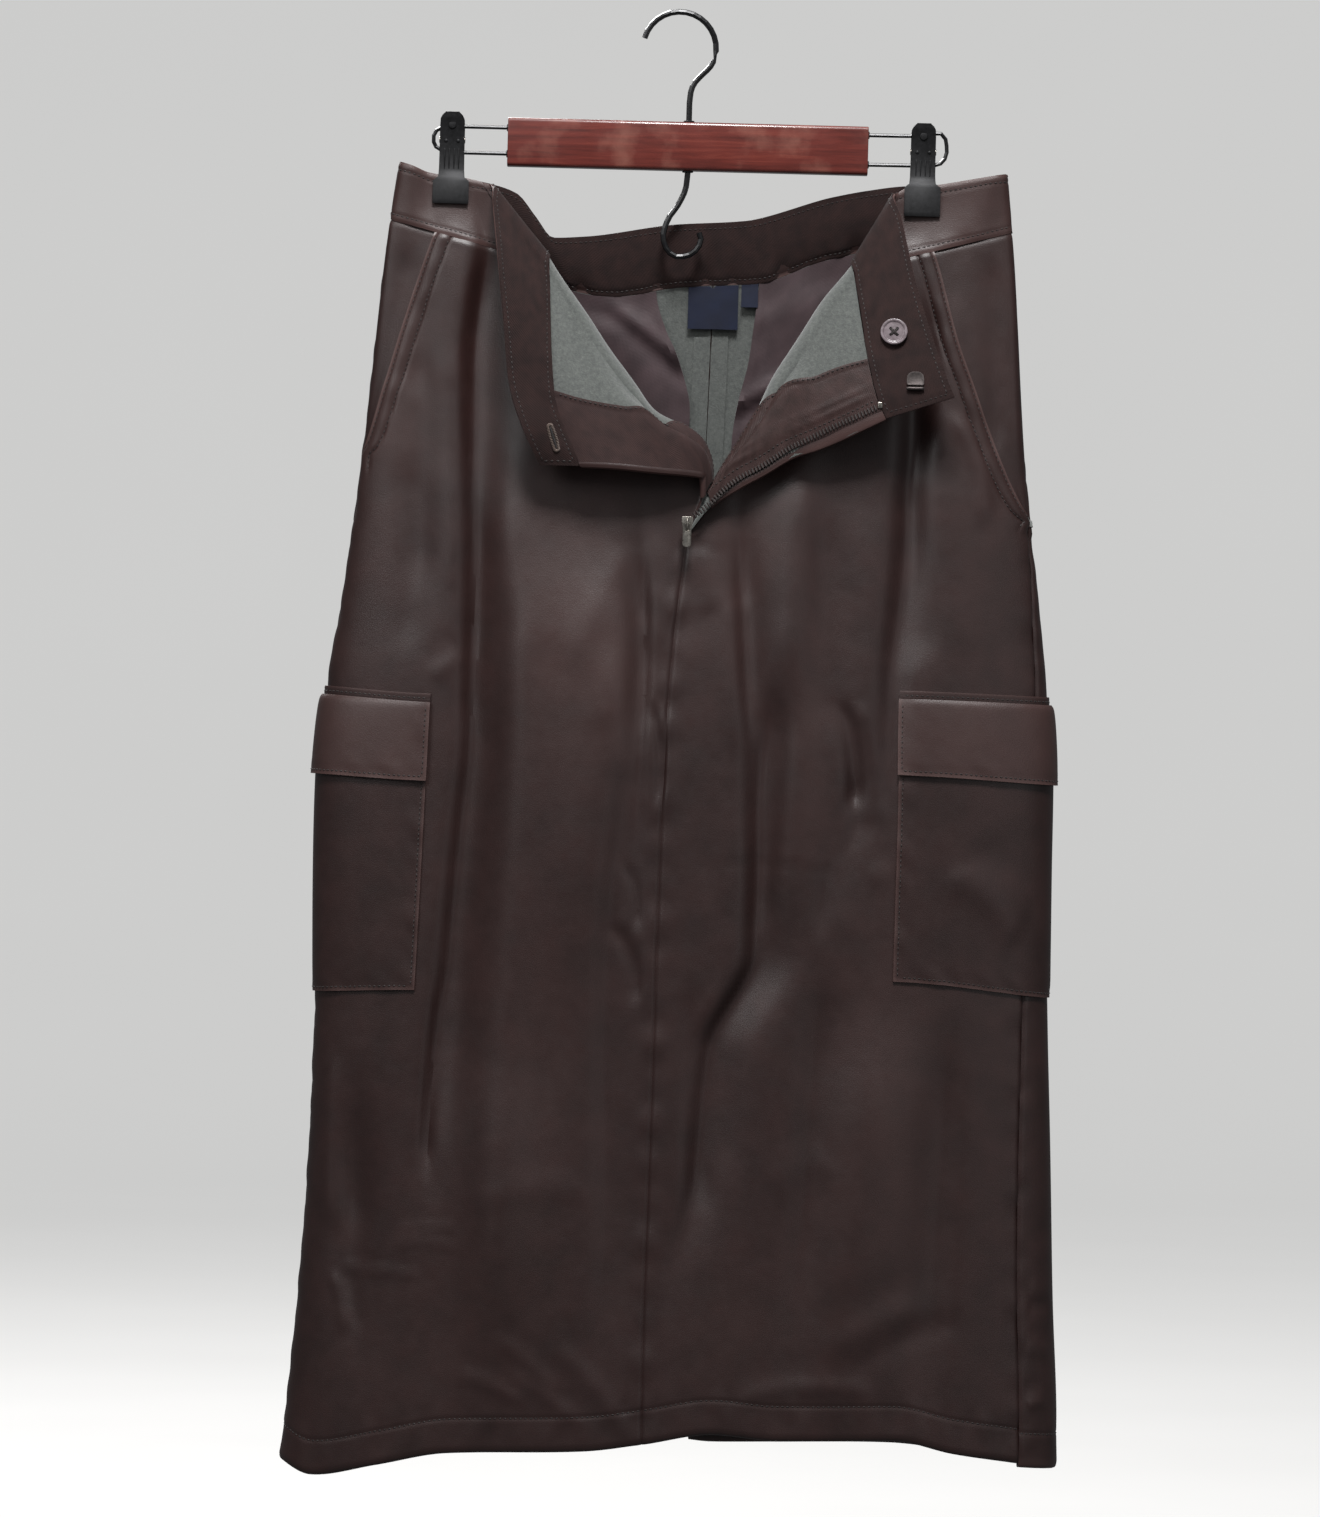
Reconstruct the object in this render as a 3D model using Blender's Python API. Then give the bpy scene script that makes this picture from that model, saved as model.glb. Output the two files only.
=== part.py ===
"""Cargo midi skirt on a bar hanger with two clips.

Model units are metres, +Z up. All tables are in millimetres. The front faces -Y, and
"left" and "right" are as seen from the front: left is -X. The origin is the inside top
of the hanger's hook, so everything hangs below it.

The skirt is a flat tube of thin cloth walls. A place on it has two numbers: v runs
down it (0 waist seam, 1 end of the zip, 2 top of the cargo pockets, 3 their bottom,
4 hem) and u runs across a front from its side to its middle and, above the zip's end,
on round the rolled edge and over the part that is turned outwards.
"""

import math

import bmesh
import bpy
import numpy as np
from mathutils import Vector

MM = 0.001

# --- driving sizes, mm -----------------------------------------------------------
LEATHER = 1.4             # coated cloth of the panels and the outer waistband
TWILL = 1.0               # facings, bags, tape
LAYER_GAP = 0.35          # clear space between two layers
SEAM_GAP = 0.45           # clear space between two pieces at a seam
WIRE_RADIUS = 1.9         # hook wire
FRAME_RADIUS = 1.3        # wires that carry the clips

# Flattened tube: outline seen from the front, and how far each wall stands off y = 0.
SECTIONS = {
    "z":     (-100, -140, -180, -250, -315, -390, -450, -545, -650, -745, -840, -905, -965),
    "left":  (-181, -187, -191, -197, -203, -212, -220, -222, -222.5, -224, -228.5, -233.5, -239),
    "right": (217, 221.5, 225, 230, 236, 246, 252, 253.5, 257.5, 262, 266, 270, 272),
    "front": (6, 9, 13, 20, 27, 33, 37, 40, 42, 44, 46, 48, 49),
    "back":  (6, 9, 15, 24, 30, 35, 38, 40, 42, 43, 45, 46, 47),
    # how square the flattened tube is at its sides
    "power": (4, 4, 3.6, 3, 2.6, 2.5, 2.5, 2.5, 2.5, 2.5, 2.5, 2.5, 2.5),
}

# Height of the main levels at five places across the front (and, alike, the back).
LEVEL_X = (-224, -151, 0, 155, 256)
LEVELS = {
    "v":            (1.0, 2.0, 2.1, 2.4, 3.0),
    "left_side":    (-340, -446.5, -452.5, -504.5, -647.8),
    "left_pocket":  (-342, -450.4, -456.4, -507.6, -644.6),
    "middle":       (-344, -448.0, -453.6, -504.0, -646.0),
    "right_pocket": (-341, -440.6, -446.4, -496.0, -631.0),
    "right_side":   (-338, -442.2, -448.0, -500.2, -639.8),
}
HEM = {
    "x": (-239, -215, -173, -128, -38, 0, 45, 86, 163, 202, 244, 272),
    "front_z": (-952, -961, -952.5, -943, -939, -933.5, -926, -929, -927.5, -935.5, -941.5, -946),
    "back_z": (-952, -958, -952, -944, -936, -933, -935, -934.5, -936, -940, -944, -946),
}
WAIST_SIDE_Z = {"left": -139.5, "right": -137.5}

# Lines that run down the skirt, as x seen from the front, at v.
GUIDES = {
    "v":            (0, 0.5, 1, 2, 3, 4),
    "left_pocket":  (-124, -143, -149, -150.6, -156, -168),
    "right_pocket": (147, 154, 157, 155.4, 154.5, 160),
    "back_left":    (-140, -158, -166, -168, -168, -172),
    "back_right":   (150, 166, 172, 178, 180, 184),
}
MIDDLE_SEAM = {
    "z": (-344, -450, -549, -647, -752, -850, -960),
    "x": (12.5, 3.6, 0.9, 0.2, -1, -2, -0.8),
}
BACK_SEAM = {"z": (-170, -450, -700, -960), "x": (26, 22, 22, 27)}
SLIT_TOP = -760           # the back seam is open below this height
SLIT_HALF = 4.0           # half its opening at the hem
# How far the right side seam lies in front of the skirt's right edge.
RIGHT_SEAM = {"z": (-140, -300, -418, -640, -787, -960), "inset": (0, 0, 6, 16, 23, 26)}

# Slanted mouth of each hip pocket, from the waist seam to the side seam.
SLANT = {
    "left": {"z": (-140, -149.5, -246.5, -295, -306), "x": (-155, -159.6, -187.2, -199, -203)},
    "right": {"z": (-137, -149.3, -219, -271.5, -320, -332), "x": (168, 171.9, 189.5, 208.6, 230, 238)},
}

# The turned-out corner of each front. "fold" is the rolled edge, "cover" the start of
# the fly facing, "teeth" the zip's line (right only) and "edge" the front's own edge.
# Stands are distances in front of the panel, "roll" the radius of the rolled edge.
TURNED = {
    "left": {
        "v":           (0, 0.125, 0.25, 0.375, 0.5, 0.625, 0.75, 0.875, 1.0),
        "fold_x":      (-81.9, -55.4, -38, -24, -9, 9, 22, 27, 12.2),
        "fold_z":      (-163.5, -201.8, -227, -245, -262.5, -272, -283, -304, -344),
        "roll":        (8, 9, 9, 9, 8.5, 7.5, 6, 4, 0),
        "cover_x":     (-75.5, -58, -37, -21, -6, 11, 22.5, 27, 12.2),
        "cover_z":     (-252, -257, -260.5, -263, -273, -281, -290, -307, -344),
        "cover_stand": (36, 32, 28, 25, 21, 17, 13.5, 8.6, 0),
        "edge_x":      (-57, -40, -23, -8.8, 3, 13, 21, 22, 12.2),
        "edge_z":      (-300.5, -301, -302, -303, -303.5, -304, -305, -317, -344),
        "edge_stand":  (41, 38, 34, 29, 24, 19.5, 15, 9, 0),
    },
    "right": {
        "v":           (0, 0.125, 0.25, 0.375, 0.5, 0.625, 0.75, 0.875, 1.0),
        "fold_x":      (116.6, 99.5, 88, 77, 67.5, 53, 40, 27, 12.8),
        "fold_z":      (-163.2, -184.6, -204, -222, -238, -268, -291, -314, -344),
        "roll":        (8, 9, 9, 8.5, 8, 7, 5.5, 3.5, 0),
        "cover_x":     (127.7, 114, 101, 87, 73, 56.5, 42, 28, 12.8),
        "cover_z":     (-226, -230, -235, -242, -252, -275, -295, -316, -344),
        "cover_stand": (31, 28, 25, 23, 20, 16.5, 13, 8, 0),
        "teeth_x":     (135, 121, 107, 92.5, 77, 59.5, 44, 28.5, 12.8),
        "teeth_z":     (-254, -261, -267.5, -275, -283, -295, -304, -319, -344),
        "teeth_stand": (37, 34, 30.5, 27, 23, 19, 14.5, 8.8, 0),
        "edge_x":      (140, 126, 112, 97, 82, 62.5, 46, 29, 12.8),
        "edge_z":      (-264.5, -271.5, -278.5, -285, -290, -302, -311.5, -323.5, -344),
        "edge_stand":  (38, 35, 31, 27.5, 23.5, 19.5, 15, 9, 0),
    },
}

# Upper edge of each front waistband, from the side (u -1) to its buttoned end.
BAND_TOP = {
    "left": {
        "u": (-1, -0.8, -0.5, 0, 1, 2, 2.25, 2.5, 2.75, 3, 3.33, 3.66, 4, 4.5, 5),
        "x": (-181.8, -180.6, -174, -162, -136, -127, -122, -120.2, -120, -119.5,
              -115.4, -110, -105.5, -95.5, -83.5),
        "y": (0, -4.4, -6.8, -3.1, -2.9, -3.2, -4.8, -8.5, -12, -15, -31, -41, -46, -51, -47),
        "z": (-101.5, -102, -104, -108.4, -111.8, -114, -115.6, -118.5, -123, -129,
              -162, -206, -246, -277, -300),
    },
    "right": {
        "u": (-1, -0.8, -0.5, 0, 1, 2, 2.25, 2.5, 2.75, 3, 3.5, 4, 4.5, 5, 6),
        "x": (217.2, 216, 209, 176.5, 149.5, 146.5, 144.3, 143.2, 144, 146.5,
              157, 167.5, 175, 181, 184.5),
        "y": (0, -4.4, -6.8, -3.1, -2.9, -3.2, -4.8, -8.5, -12, -15, -30, -39, -44, -47, -48),
        "z": (-99.6, -99.8, -101, -107, -111.3, -113.4, -114.8, -117.5, -121.5, -127,
              -171, -205, -226, -242, -249.5),
    },
}

# Back waistband, a row for each section from left to right.
BACK_BAND = {
    "seam_x": (-187.2, -184, -172, -158, -138, -112, -92, -78, -62, -40, 6, 56, 97, 122,
               152, 176, 206, 218, 221.4),
    "seam_y": (0, 4.3, 6.6, 7.7, 9, 12, 14.5, 16, 17, 18, 19.5, 18.5, 15, 12.5, 9, 7.9, 6.8, 4.3, 0),
    "seam_z": (-139.5, -140, -142.5, -146, -150.5, -157, -164.5, -173, -183, -185, -177.5,
               -174, -158.5, -152.5, -148.5, -145.5, -140.5, -138, -137.5),
    "top_x": (-181.8, -179, -171, -162, -135, -119, -105, -93, -80, -58, 0, 46, 103, 128,
              148, 177, 206, 214, 217.2),
    "top_y": (0, 4.2, 6, 3.1, 2.9, 4, 6.5, 9, 10.5, 12, 14, 13, 7.5, 4, 2.9, 3.1, 6, 4.2, 0),
    "top_z": (-101.5, -102, -104.5, -108.5, -111.8, -115, -120, -134, -148, -146.5, -137,
              -133.5, -117, -112, -109, -107, -102, -100, -99.6),
}

# Main creases, as a line down the cloth. A negative height is a trough. "reach" is the
# half-width; "start" and "end" are where the crease fades out.
FRONT_CREASES = [
    {"x": (-134, -124, -122, -128, -136, -146), "z": (-230, -362, -470, -550, -665, -760),
     "reach": 10, "height": -13, "start": -205, "end": -775},
    {"x": (82, 67, 66, 38, 32, 17), "z": (-385, -525, -613, -677, -759, -820),
     "reach": 14, "height": -10, "start": -400, "end": -835},
    {"x": (118, 127, 129, 122, 110), "z": (-450, -504, -519, -549, -618),
     "reach": 9, "height": -6, "start": -440, "end": -620},
    {"x": (-194, -193, -187), "z": (-725, -840, -890),
     "reach": 13, "height": -7, "start": -690, "end": -920},
    {"x": (-60, -45, -55), "z": (-330, -470, -620),
     "reach": 34, "height": 6, "start": -330, "end": -700},
    {"x": (150, 135, 120), "z": (-640, -780, -930),
     "reach": 30, "height": 6, "start": -640, "end": -965},
    {"x": (-95, -90, -85), "z": (-700, -820, -940),
     "reach": 28, "height": 5, "start": -680, "end": -965},
]
BACK_CREASES = [
    {"x": (-90, -98, -110), "z": (-330, -560, -800),
     "reach": 15, "height": -9, "start": -320, "end": -860},
    {"x": (110, 98, 92), "z": (-360, -600, -850),
     "reach": 16, "height": -8, "start": -330, "end": -900},
    {"x": (-20, -30, -34), "z": (-560, -750, -930),
     "reach": 26, "height": 5, "start": -560, "end": -965},
]

# The pocket bags inside, from the back facing down to BAG_LOW.
BAGS = {
    "left": {"z": (-160, -182, -209, -226, -243, -261, -285, -330, -372),
             "outer_x": (-134, -140, -146, -148, -150, -151, -152, -152, -148),
             "inner_x": (-12, -11.3, -4.1, 3.6, 9.3, 13, 12, 2, -20)},
    "right": {"z": (-150, -175, -209, -226, -243, -261, -285, -330, -372),
              "outer_x": (140, 150, 158, 160, 162, 163, 164, 164, 160),
              "inner_x": (58, 56.6, 53, 51, 47, 43, 41, 48, 66)},
}
BAG_COLUMNS = 7
BAG_DEPTHS = (0, 0.14, 0.3, 0.5, 0.75, 1)
BAG_LOW = -360
HUNG_GAP = 0.75           # below the back facing's edge
EDGE_LOOK = 8             # how far to each side the facing's edge is read

LABEL = {"left": 10, "right": 43, "low": -205}
SIZE_TAB = {"left": 45.5, "right": 54, "low": -190}

# Zip: chain, slider with its bail, and the pull tab that hangs on it.
CHAIN_WIDTH = 4.2
CHAIN_THICK = 2.2
SLIDER = {"x": 13.0, "z": -336.0, "wide": 8.0, "high": 10.0, "thick": 3.6}
SLIDER_BACK_Y = -38.5
BAIL = {"half_high": 3.2, "deep": 3.4, "bar": 1.2, "wide": 2.0}
PULL = {"wide": 5.6, "long": 15.0, "thick": 1.2, "above": 0.6,
        "slot_wide": 3.2, "slot_top": 0.6, "slot_low": 4.4}

BUTTON = {"x": 145.0, "z": -209.0, "radius": 8.8, "thick": 2.6, "rim": 1.4, "hole": 1.0,
          "spacing": 2.3, "lift": 0.35}
HOOK_TAB = {"x": 159.5, "z": -240.0, "wide": 12, "high": 13, "thick": 1.2, "lift": 0.3}

# Hanger: hook wire, wooden bar, wire loops at its ends and the two spring clips.
HOOK_CENTRE_Z = -22.1
HOOK_RADIUS = 24.0
STEM_X = 7.4
BAR = {"left": -111.3, "right": 125.5, "top": -70.7, "low": -102.6, "thick": 12.0}
HOOK_NECK = {"x": (23.9, 20.6, 15.2, 10.6, 8.2, STEM_X), "z": (-26.8, -33.5, -39.2, -44.4, -50, -58)}
LOWER_HOOK = {"x": (STEM_X, 6.6, 1.6, -4.7, -7.7, -4.8, 2.5, 9.7, 15.5, 17.3, 15.9),
              "z": (-104, -113, -125, -134.5, -145.5, -154.6, -159, -157.6, -152.5, -147.2, -142.8)}
LOWER_HOOK_Y = 1.5
LOOPS = {
    "left": {"x": (-111.7, -138, -150, -156.5, -160, -160, -156, -150, -138, -111.7),
             "z": (-77.2, -77.2, -77.4, -79, -83, -88.6, -92.4, -94, -94.3, -94.3)},
    "right": {"x": (125.9, 153, 166, 172.5, 176.5, 177.3, 174, 167, 153, 125.9),
              "z": (-76, -75.8, -74, -73.6, -78, -86, -93, -95, -95.2, -95.4)},
}
CLIPS = {"left": {"x": -147.8, "top": -68.0, "jaw": -112.2, "end": -128.5},
         "right": {"x": 161.8, "top": -67.6, "jaw": -108.6, "end": -129.0}}
CLIP_PROFILE = {          # share of the way down to the jaw, half width, stand off y = 0
    "share": (0, 0.1, 0.22, 0.6, 0.85, 0.97, 1.03, 1.4),
    "half": (6.2, 7.8, 8.1, 8.1, 8.2, 8.6, 11.8, 11.9),
    "stand": (5.4, 4.4, 2.75, 2.65, 3.1, 5.4, 5.7, 6.7),
}
CLIP_THICK = 1.2
CLIP_PIN = {"z": -86.2, "radius": 1.6, "length": 15}

# Steps of the faceted walls.
FRONT_STEPS = {"hip": 4, "side": 6, "main": 9, "roll": 4, "knit": 3, "cover": 2, "edge": 1}
BACK_STEPS = {"outer": 7, "inner": 5}
SIDE_CROWDING = 1.6       # columns lie closer together near the side seams
ROWS_ABOVE_ZIP_END = [0, 0.125, 0.25, 0.375, 0.5, 0.625, 0.75, 0.875]
ROWS_BELOW = [1, 1.33, 1.66, 2, 2.1, 2.25, 2.4, 2.6, 2.8, 3, 3.25, 3.5, 3.72, 3.9, 4]
BAND_ROWS = [0, 0.55, 1]
PINCH = 2.4               # the clips hold the waistband's upper half flat
HEM_MIDDLE = 5            # row of the hem's table at the back slit
SIDE_PULL = 2.2           # how far the facings stop short of the side seams

# Worked out from the sizes above.
WAIST_SECTION_Z = WAIST_SIDE_Z["left"]
BACK_MIDDLE = BACK_STEPS["outer"] + BACK_STEPS["inner"]
ALL_ROWS = ROWS_ABOVE_ZIP_END + ROWS_BELOW
ZIP_END_ROW = len(ROWS_ABOVE_ZIP_END)
HIP = FRONT_STEPS["hip"]
UNDER = (LEATHER / 2 + LAYER_GAP + TWILL / 2)
ON_TOP = LEATHER + LAYER_GAP


# --- interpolation ---------------------------------------------------------------
def smooth(keys, values, at):
    """Value at a place in a table, on a smooth curve that never overshoots its rows."""
    keys = np.asarray(keys, float)
    values = np.asarray(values, float)
    if keys[0] > keys[-1]:
        keys = keys[::-1]
        values = values[::-1]
    at = np.clip(np.asarray(at, float), keys[0], keys[-1])
    widths = np.diff(keys)
    slopes = np.diff(values) / widths
    tangents = np.zeros(len(keys))
    tangents[0] = slopes[0]
    tangents[-1] = slopes[-1]
    for i in range(1, len(keys) - 1):
        if slopes[i - 1] * slopes[i] > 0:
            first = 2 * widths[i] + widths[i - 1]
            second = widths[i] + 2 * widths[i - 1]
            tangents[i] = (first + second) / (first / slopes[i - 1] + second / slopes[i])
    i = np.clip(np.searchsorted(keys, at) - 1, 0, len(widths) - 1)
    t = (at - keys[i]) / widths[i]
    ease = t * t * (3 - 2 * t)
    start_pull = t * (1 - t) ** 2 * widths[i] * tangents[i]
    end_pull = t * t * (t - 1) * widths[i] * tangents[i + 1]
    return values[i] * (1 - ease) + values[i + 1] * ease + start_pull + end_pull


def blend(a, b, t):
    return a + (b - a) * t


# --- the flattened tube ----------------------------------------------------------
def outline(z):
    """Closed section of the tube at a height: points and their distance along it."""
    edges = {key: float(smooth(SECTIONS["z"], SECTIONS[key], z))
             for key in ("left", "right", "front", "back", "power")}
    angles = np.linspace(0, 2 * math.pi, 721)
    middle = (edges["left"] + edges["right"]) / 2
    half = (edges["right"] - edges["left"]) / 2
    cosine = np.cos(angles)
    sine = np.sin(angles)
    power = 2 / edges["power"]
    x = middle - half * np.sign(cosine) * np.abs(cosine) ** power
    depth = np.where(sine >= 0, edges["front"], edges["back"])
    y = -depth * np.sign(sine) * np.abs(sine) ** power
    along = np.concatenate([[0], np.cumsum(np.hypot(np.diff(x), np.diff(y)))])
    return x, y, along


def arc_at(z, x, wall):
    """Distance along the section at which a wall passes x."""
    xs, _, along = outline(z)
    half = len(xs) // 2
    if wall == "front":
        return float(np.interp(x, xs[:half + 1], along[:half + 1]))
    return float(np.interp(-x, -xs[half:], along[half:]))


def point_at(z, arc):
    xs, ys, along = outline(z)
    arc = arc % along[-1]
    return float(np.interp(arc, along, xs)), float(np.interp(arc, along, ys))


def crease_height(creases, x, z):
    """Sum of the creases at a place, in mm outwards."""
    total = 0.0
    for crease in creases:
        centre = float(smooth(crease["z"], crease["x"], z))
        fade = min(1.0, max(0.0, crease["start"] - z) / 60) * min(1.0, max(0.0, z - crease["end"]) / 60)
        fade = fade * fade * (3 - 2 * fade)
        total += crease["height"] * fade * math.exp(-((x - centre) / crease["reach"]) ** 2)
    return total


def level_height(v, x, wall):
    """Height of the level line v, from the end of the zip (1) to the hem (4)."""
    pocket_v = min(v, 3.0)
    stations = [float(smooth(LEVELS["v"], LEVELS[key], pocket_v))
                for key in ("left_side", "left_pocket", "middle", "right_pocket", "right_side")]
    height = float(smooth(LEVEL_X, stations, x))
    if v > 3:
        hem = float(smooth(HEM["x"], HEM[wall + "_z"], x))
        height = blend(height, hem, v - 3)
    return height


def side_height(v, side):
    """Height of the level line v at a side seam."""
    if v >= 1:
        return level_height(v, LEVEL_X[0] if side == "left" else LEVEL_X[-1], "front")
    return blend(WAIST_SIDE_Z[side], level_height(1, LEVEL_X[0] if side == "left" else LEVEL_X[-1],
                                                  "front"), v)


def side_arc(z, side):
    """Distance along the section at which a side seam lies."""
    if side == "left":
        return 0.0
    inset = float(smooth(RIGHT_SEAM["z"], RIGHT_SEAM["inset"], z))
    right = float(smooth(SECTIONS["z"], SECTIONS["right"], z))
    return arc_at(z, right - inset, "front")


def wall_point(z_section, z, arc):
    """Point of the tube, with its creases."""
    x, y = point_at(z_section, arc)
    if y < 0:
        y -= crease_height(FRONT_CREASES, x, z)
    else:
        y += crease_height(BACK_CREASES, x, z)
    return np.array([x, y, z])


# --- the two fronts --------------------------------------------------------------
def turned_value(side, key, v):
    return float(smooth(TURNED[side]["v"], TURNED[side][key], v))


def spread(start, end, steps, crowding=1.0):
    """Places from start to end, without the last. Crowding above 1 packs them at the start."""
    return [blend(start, end, (i / steps) ** crowding) for i in range(steps)]


def spread_back(start, end, steps, crowding):
    """Places from start to end, without the last, packed at the end."""
    return [blend(end, start, ((steps - i) / steps) ** crowding) for i in range(steps)]


def front_main_row(side, v, with_hip):
    """Row of a front from its side to its middle seam or, higher up, to the roll."""
    z_side = side_height(v, side)
    if v < 1:
        inner_x = turned_value(side, "fold_x", v)
        inner_z = turned_value(side, "fold_z", v)
        step_back = 1.2 * turned_value(side, "roll", v)
        inner_x += -step_back if side == "left" else step_back
    else:
        inner_z = None
    z_section = z_side if inner_z is None else (z_side + inner_z) / 2
    if v >= 1:
        z_section = level_height(v, 0, "front")
        inner_x = float(smooth(MIDDLE_SEAM["z"], MIDDLE_SEAM["x"], z_section))
        inner_x += -SEAM_GAP / 2 if side == "left" else SEAM_GAP / 2
    guide_x = float(smooth(GUIDES["v"], GUIDES[side + "_pocket"], v))
    slant = SLANT[side]
    on_slant = z_side > slant["z"][-1]
    arcs = {"side": side_arc(z_section, side),
            "guide": arc_at(z_section, guide_x, "front"),
            "inner": arc_at(z_section, inner_x, "front")}
    arcs["slant"] = arcs["side"]
    if on_slant:
        slant_x = float(smooth(slant["z"], slant["x"], z_side - 6))
        arcs["slant"] = arc_at(z_section, slant_x, "front")
    places = []
    if with_hip:
        places += spread(arcs["side"], arcs["slant"], FRONT_STEPS["hip"])
    places += spread(arcs["slant"], arcs["guide"], FRONT_STEPS["side"], SIDE_CROWDING)
    places += spread(arcs["guide"], arcs["inner"], FRONT_STEPS["main"])
    places.append(arcs["inner"])
    row = []
    for arc in places:
        x, _ = point_at(z_section, arc)
        if inner_z is None:
            z = level_height(v, x, "front")
        else:
            share = (arc - arcs["side"]) / (arcs["inner"] - arcs["side"])
            z = blend(z_side, inner_z, share)
        row.append(wall_point(z, z, arc_same_share(z_section, z, arc)))
    return row


def arc_same_share(z_from, z_to, arc):
    """The same share of the way round the section at another height."""
    whole_from = outline(z_from)[2][-1]
    whole_to = outline(z_to)[2][-1]
    return arc / whole_from * whole_to


def front_turned_row(side, v, main_row):
    """Row of a front beyond its main part: round the roll and over the turned part."""
    keys = ["cover", "edge"] if side == "left" else ["cover", "teeth", "edge"]
    steps = [FRONT_STEPS["knit"], FRONT_STEPS["cover"], FRONT_STEPS["edge"]]
    last = main_row[-1]
    if v >= 1:
        count = FRONT_STEPS["roll"] + sum(steps[:len(keys)])
        return [last.copy() for _ in range(count)]
    fold = np.array([turned_value(side, "fold_x", v), 0, turned_value(side, "fold_z", v)])
    roll = turned_value(side, "roll", v)
    stops = [np.array([turned_value(side, key + "_x", v), 0, turned_value(side, key + "_z", v)])
             for key in keys]
    incoming = fold - last
    incoming[1] = 0
    outgoing = stops[0] - fold
    outgoing = outgoing / np.linalg.norm(outgoing)
    row = []
    for i in range(1, FRONT_STEPS["roll"] + 1):
        angle = math.pi * i / FRONT_STEPS["roll"]
        reach = 1 - math.sin(angle)
        if angle <= math.pi / 2:
            point = fold - incoming * reach
        else:
            point = fold + outgoing * reach * 1.2 * roll
        point[1] = last[1] - roll * (1 - math.cos(angle))
        row.append(point)
    for key, stop in zip(keys, stops):
        stop[1] = last[1] - turned_value(side, key + "_stand", v)
    knots = np.array([row[-1]] + stops)
    lengths = np.concatenate([[0], np.cumsum(np.linalg.norm(np.diff(knots, axis=0), axis=1))])
    for i, count in enumerate(steps[:len(keys)]):
        for j in range(1, count + 1):
            place = blend(lengths[i], lengths[i + 1], j / count)
            row.append(np.array([float(smooth(lengths, knots[:, axis], place)) for axis in range(3)]))
    return row


def front_rows(side, with_hip=False):
    """Main and turned rows of a front, as two arrays that share a column."""
    main = [front_main_row(side, v, with_hip) for v in ROWS_ABOVE_ZIP_END + ROWS_BELOW]
    count = len(ROWS_ABOVE_ZIP_END) + 1
    turned = []
    for v, row in zip(ROWS_ABOVE_ZIP_END + [1], main[:count]):
        turned.append([row[-1].copy()] + front_turned_row(side, v, row))
    return np.array(main), np.array(turned)


def out_normals(grid):
    """Unit normals of a grid whose rows run down and whose columns run to the right."""
    down = np.gradient(grid, axis=0)
    across = np.gradient(grid, axis=1)
    normals = np.cross(down, across)
    sizes = np.linalg.norm(normals, axis=2, keepdims=True)
    weak = sizes[:, :, 0] < 1e-6
    normals = normals / np.maximum(sizes, 1e-6)
    for r in range(1, len(grid)):
        normals[r][weak[r]] = normals[r - 1][weak[r]]
    return normals


def moved(grid, distance, normals=None):
    if normals is None:
        normals = out_normals(grid)
    return grid + normals * np.asarray(distance)


def pulled_in(grid, column, amount):
    """Move one outer column towards its neighbour, which leaves a gap at a seam."""
    step = 1 if column == 0 else -1
    grid = grid.copy()
    ahead = grid[:, column + step] - grid[:, column]
    sizes = np.linalg.norm(ahead, axis=1, keepdims=True)
    share = np.minimum(amount / np.maximum(sizes, 1e-6), 0.4)
    grid[:, column] += ahead * share
    return grid


# --- objects ---------------------------------------------------------------------
def clear_scene():
    for item in list(bpy.data.objects):
        bpy.data.objects.remove(item, do_unlink=True)


def finish(name, colour, roughness, metallic=0.0):
    material = bpy.data.materials.new(name)
    material.use_nodes = True
    shader = material.node_tree.nodes["Principled BSDF"]
    shader.inputs["Base Color"].default_value = (*colour, 1)
    shader.inputs["Roughness"].default_value = roughness
    shader.inputs["Metallic"].default_value = metallic
    return material


def add_object(name, mesh, material):
    item = bpy.data.objects.new(name, mesh)
    bpy.context.scene.collection.objects.link(item)
    mesh.materials.append(material)
    return item


def cloth_wall(name, grids, thickness, material, turned_over=False):
    """Thin wall through one grid, or through several that share a column."""
    shape = bmesh.new()
    for grid in grids:
        points = [[shape.verts.new(point * MM) for point in row] for row in grid]
        for r in range(len(grid) - 1):
            for c in range(len(grid[0]) - 1):
                corners = [points[r][c], points[r + 1][c], points[r + 1][c + 1], points[r][c + 1]]
                if turned_over:
                    corners.reverse()
                shape.faces.new((corners[0], corners[1], corners[2]))
                shape.faces.new((corners[0], corners[2], corners[3]))
    bmesh.ops.remove_doubles(shape, verts=shape.verts, dist=0.02 * MM)
    mesh = bpy.data.meshes.new(name)
    shape.to_mesh(mesh)
    shape.free()
    mesh.shade_smooth()
    item = add_object(name, mesh, material)
    solid = item.modifiers.new("wall", "SOLIDIFY")
    solid.thickness = thickness * MM
    solid.offset = 0
    return item


def tube(name, points, radius, material):
    """Round wire along a line of points."""
    curve = bpy.data.curves.new(name, "CURVE")
    curve.dimensions = "3D"
    curve.bevel_depth = radius * MM
    curve.bevel_resolution = 2
    curve.use_fill_caps = True
    line = curve.splines.new("POLY")
    line.points.add(len(points) - 1)
    for place, (x, y, z) in zip(line.points, points):
        place.co = (x * MM, y * MM, z * MM, 1)
    item = bpy.data.objects.new(name, curve)
    bpy.context.scene.collection.objects.link(item)
    curve.materials.append(material)
    return item


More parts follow.
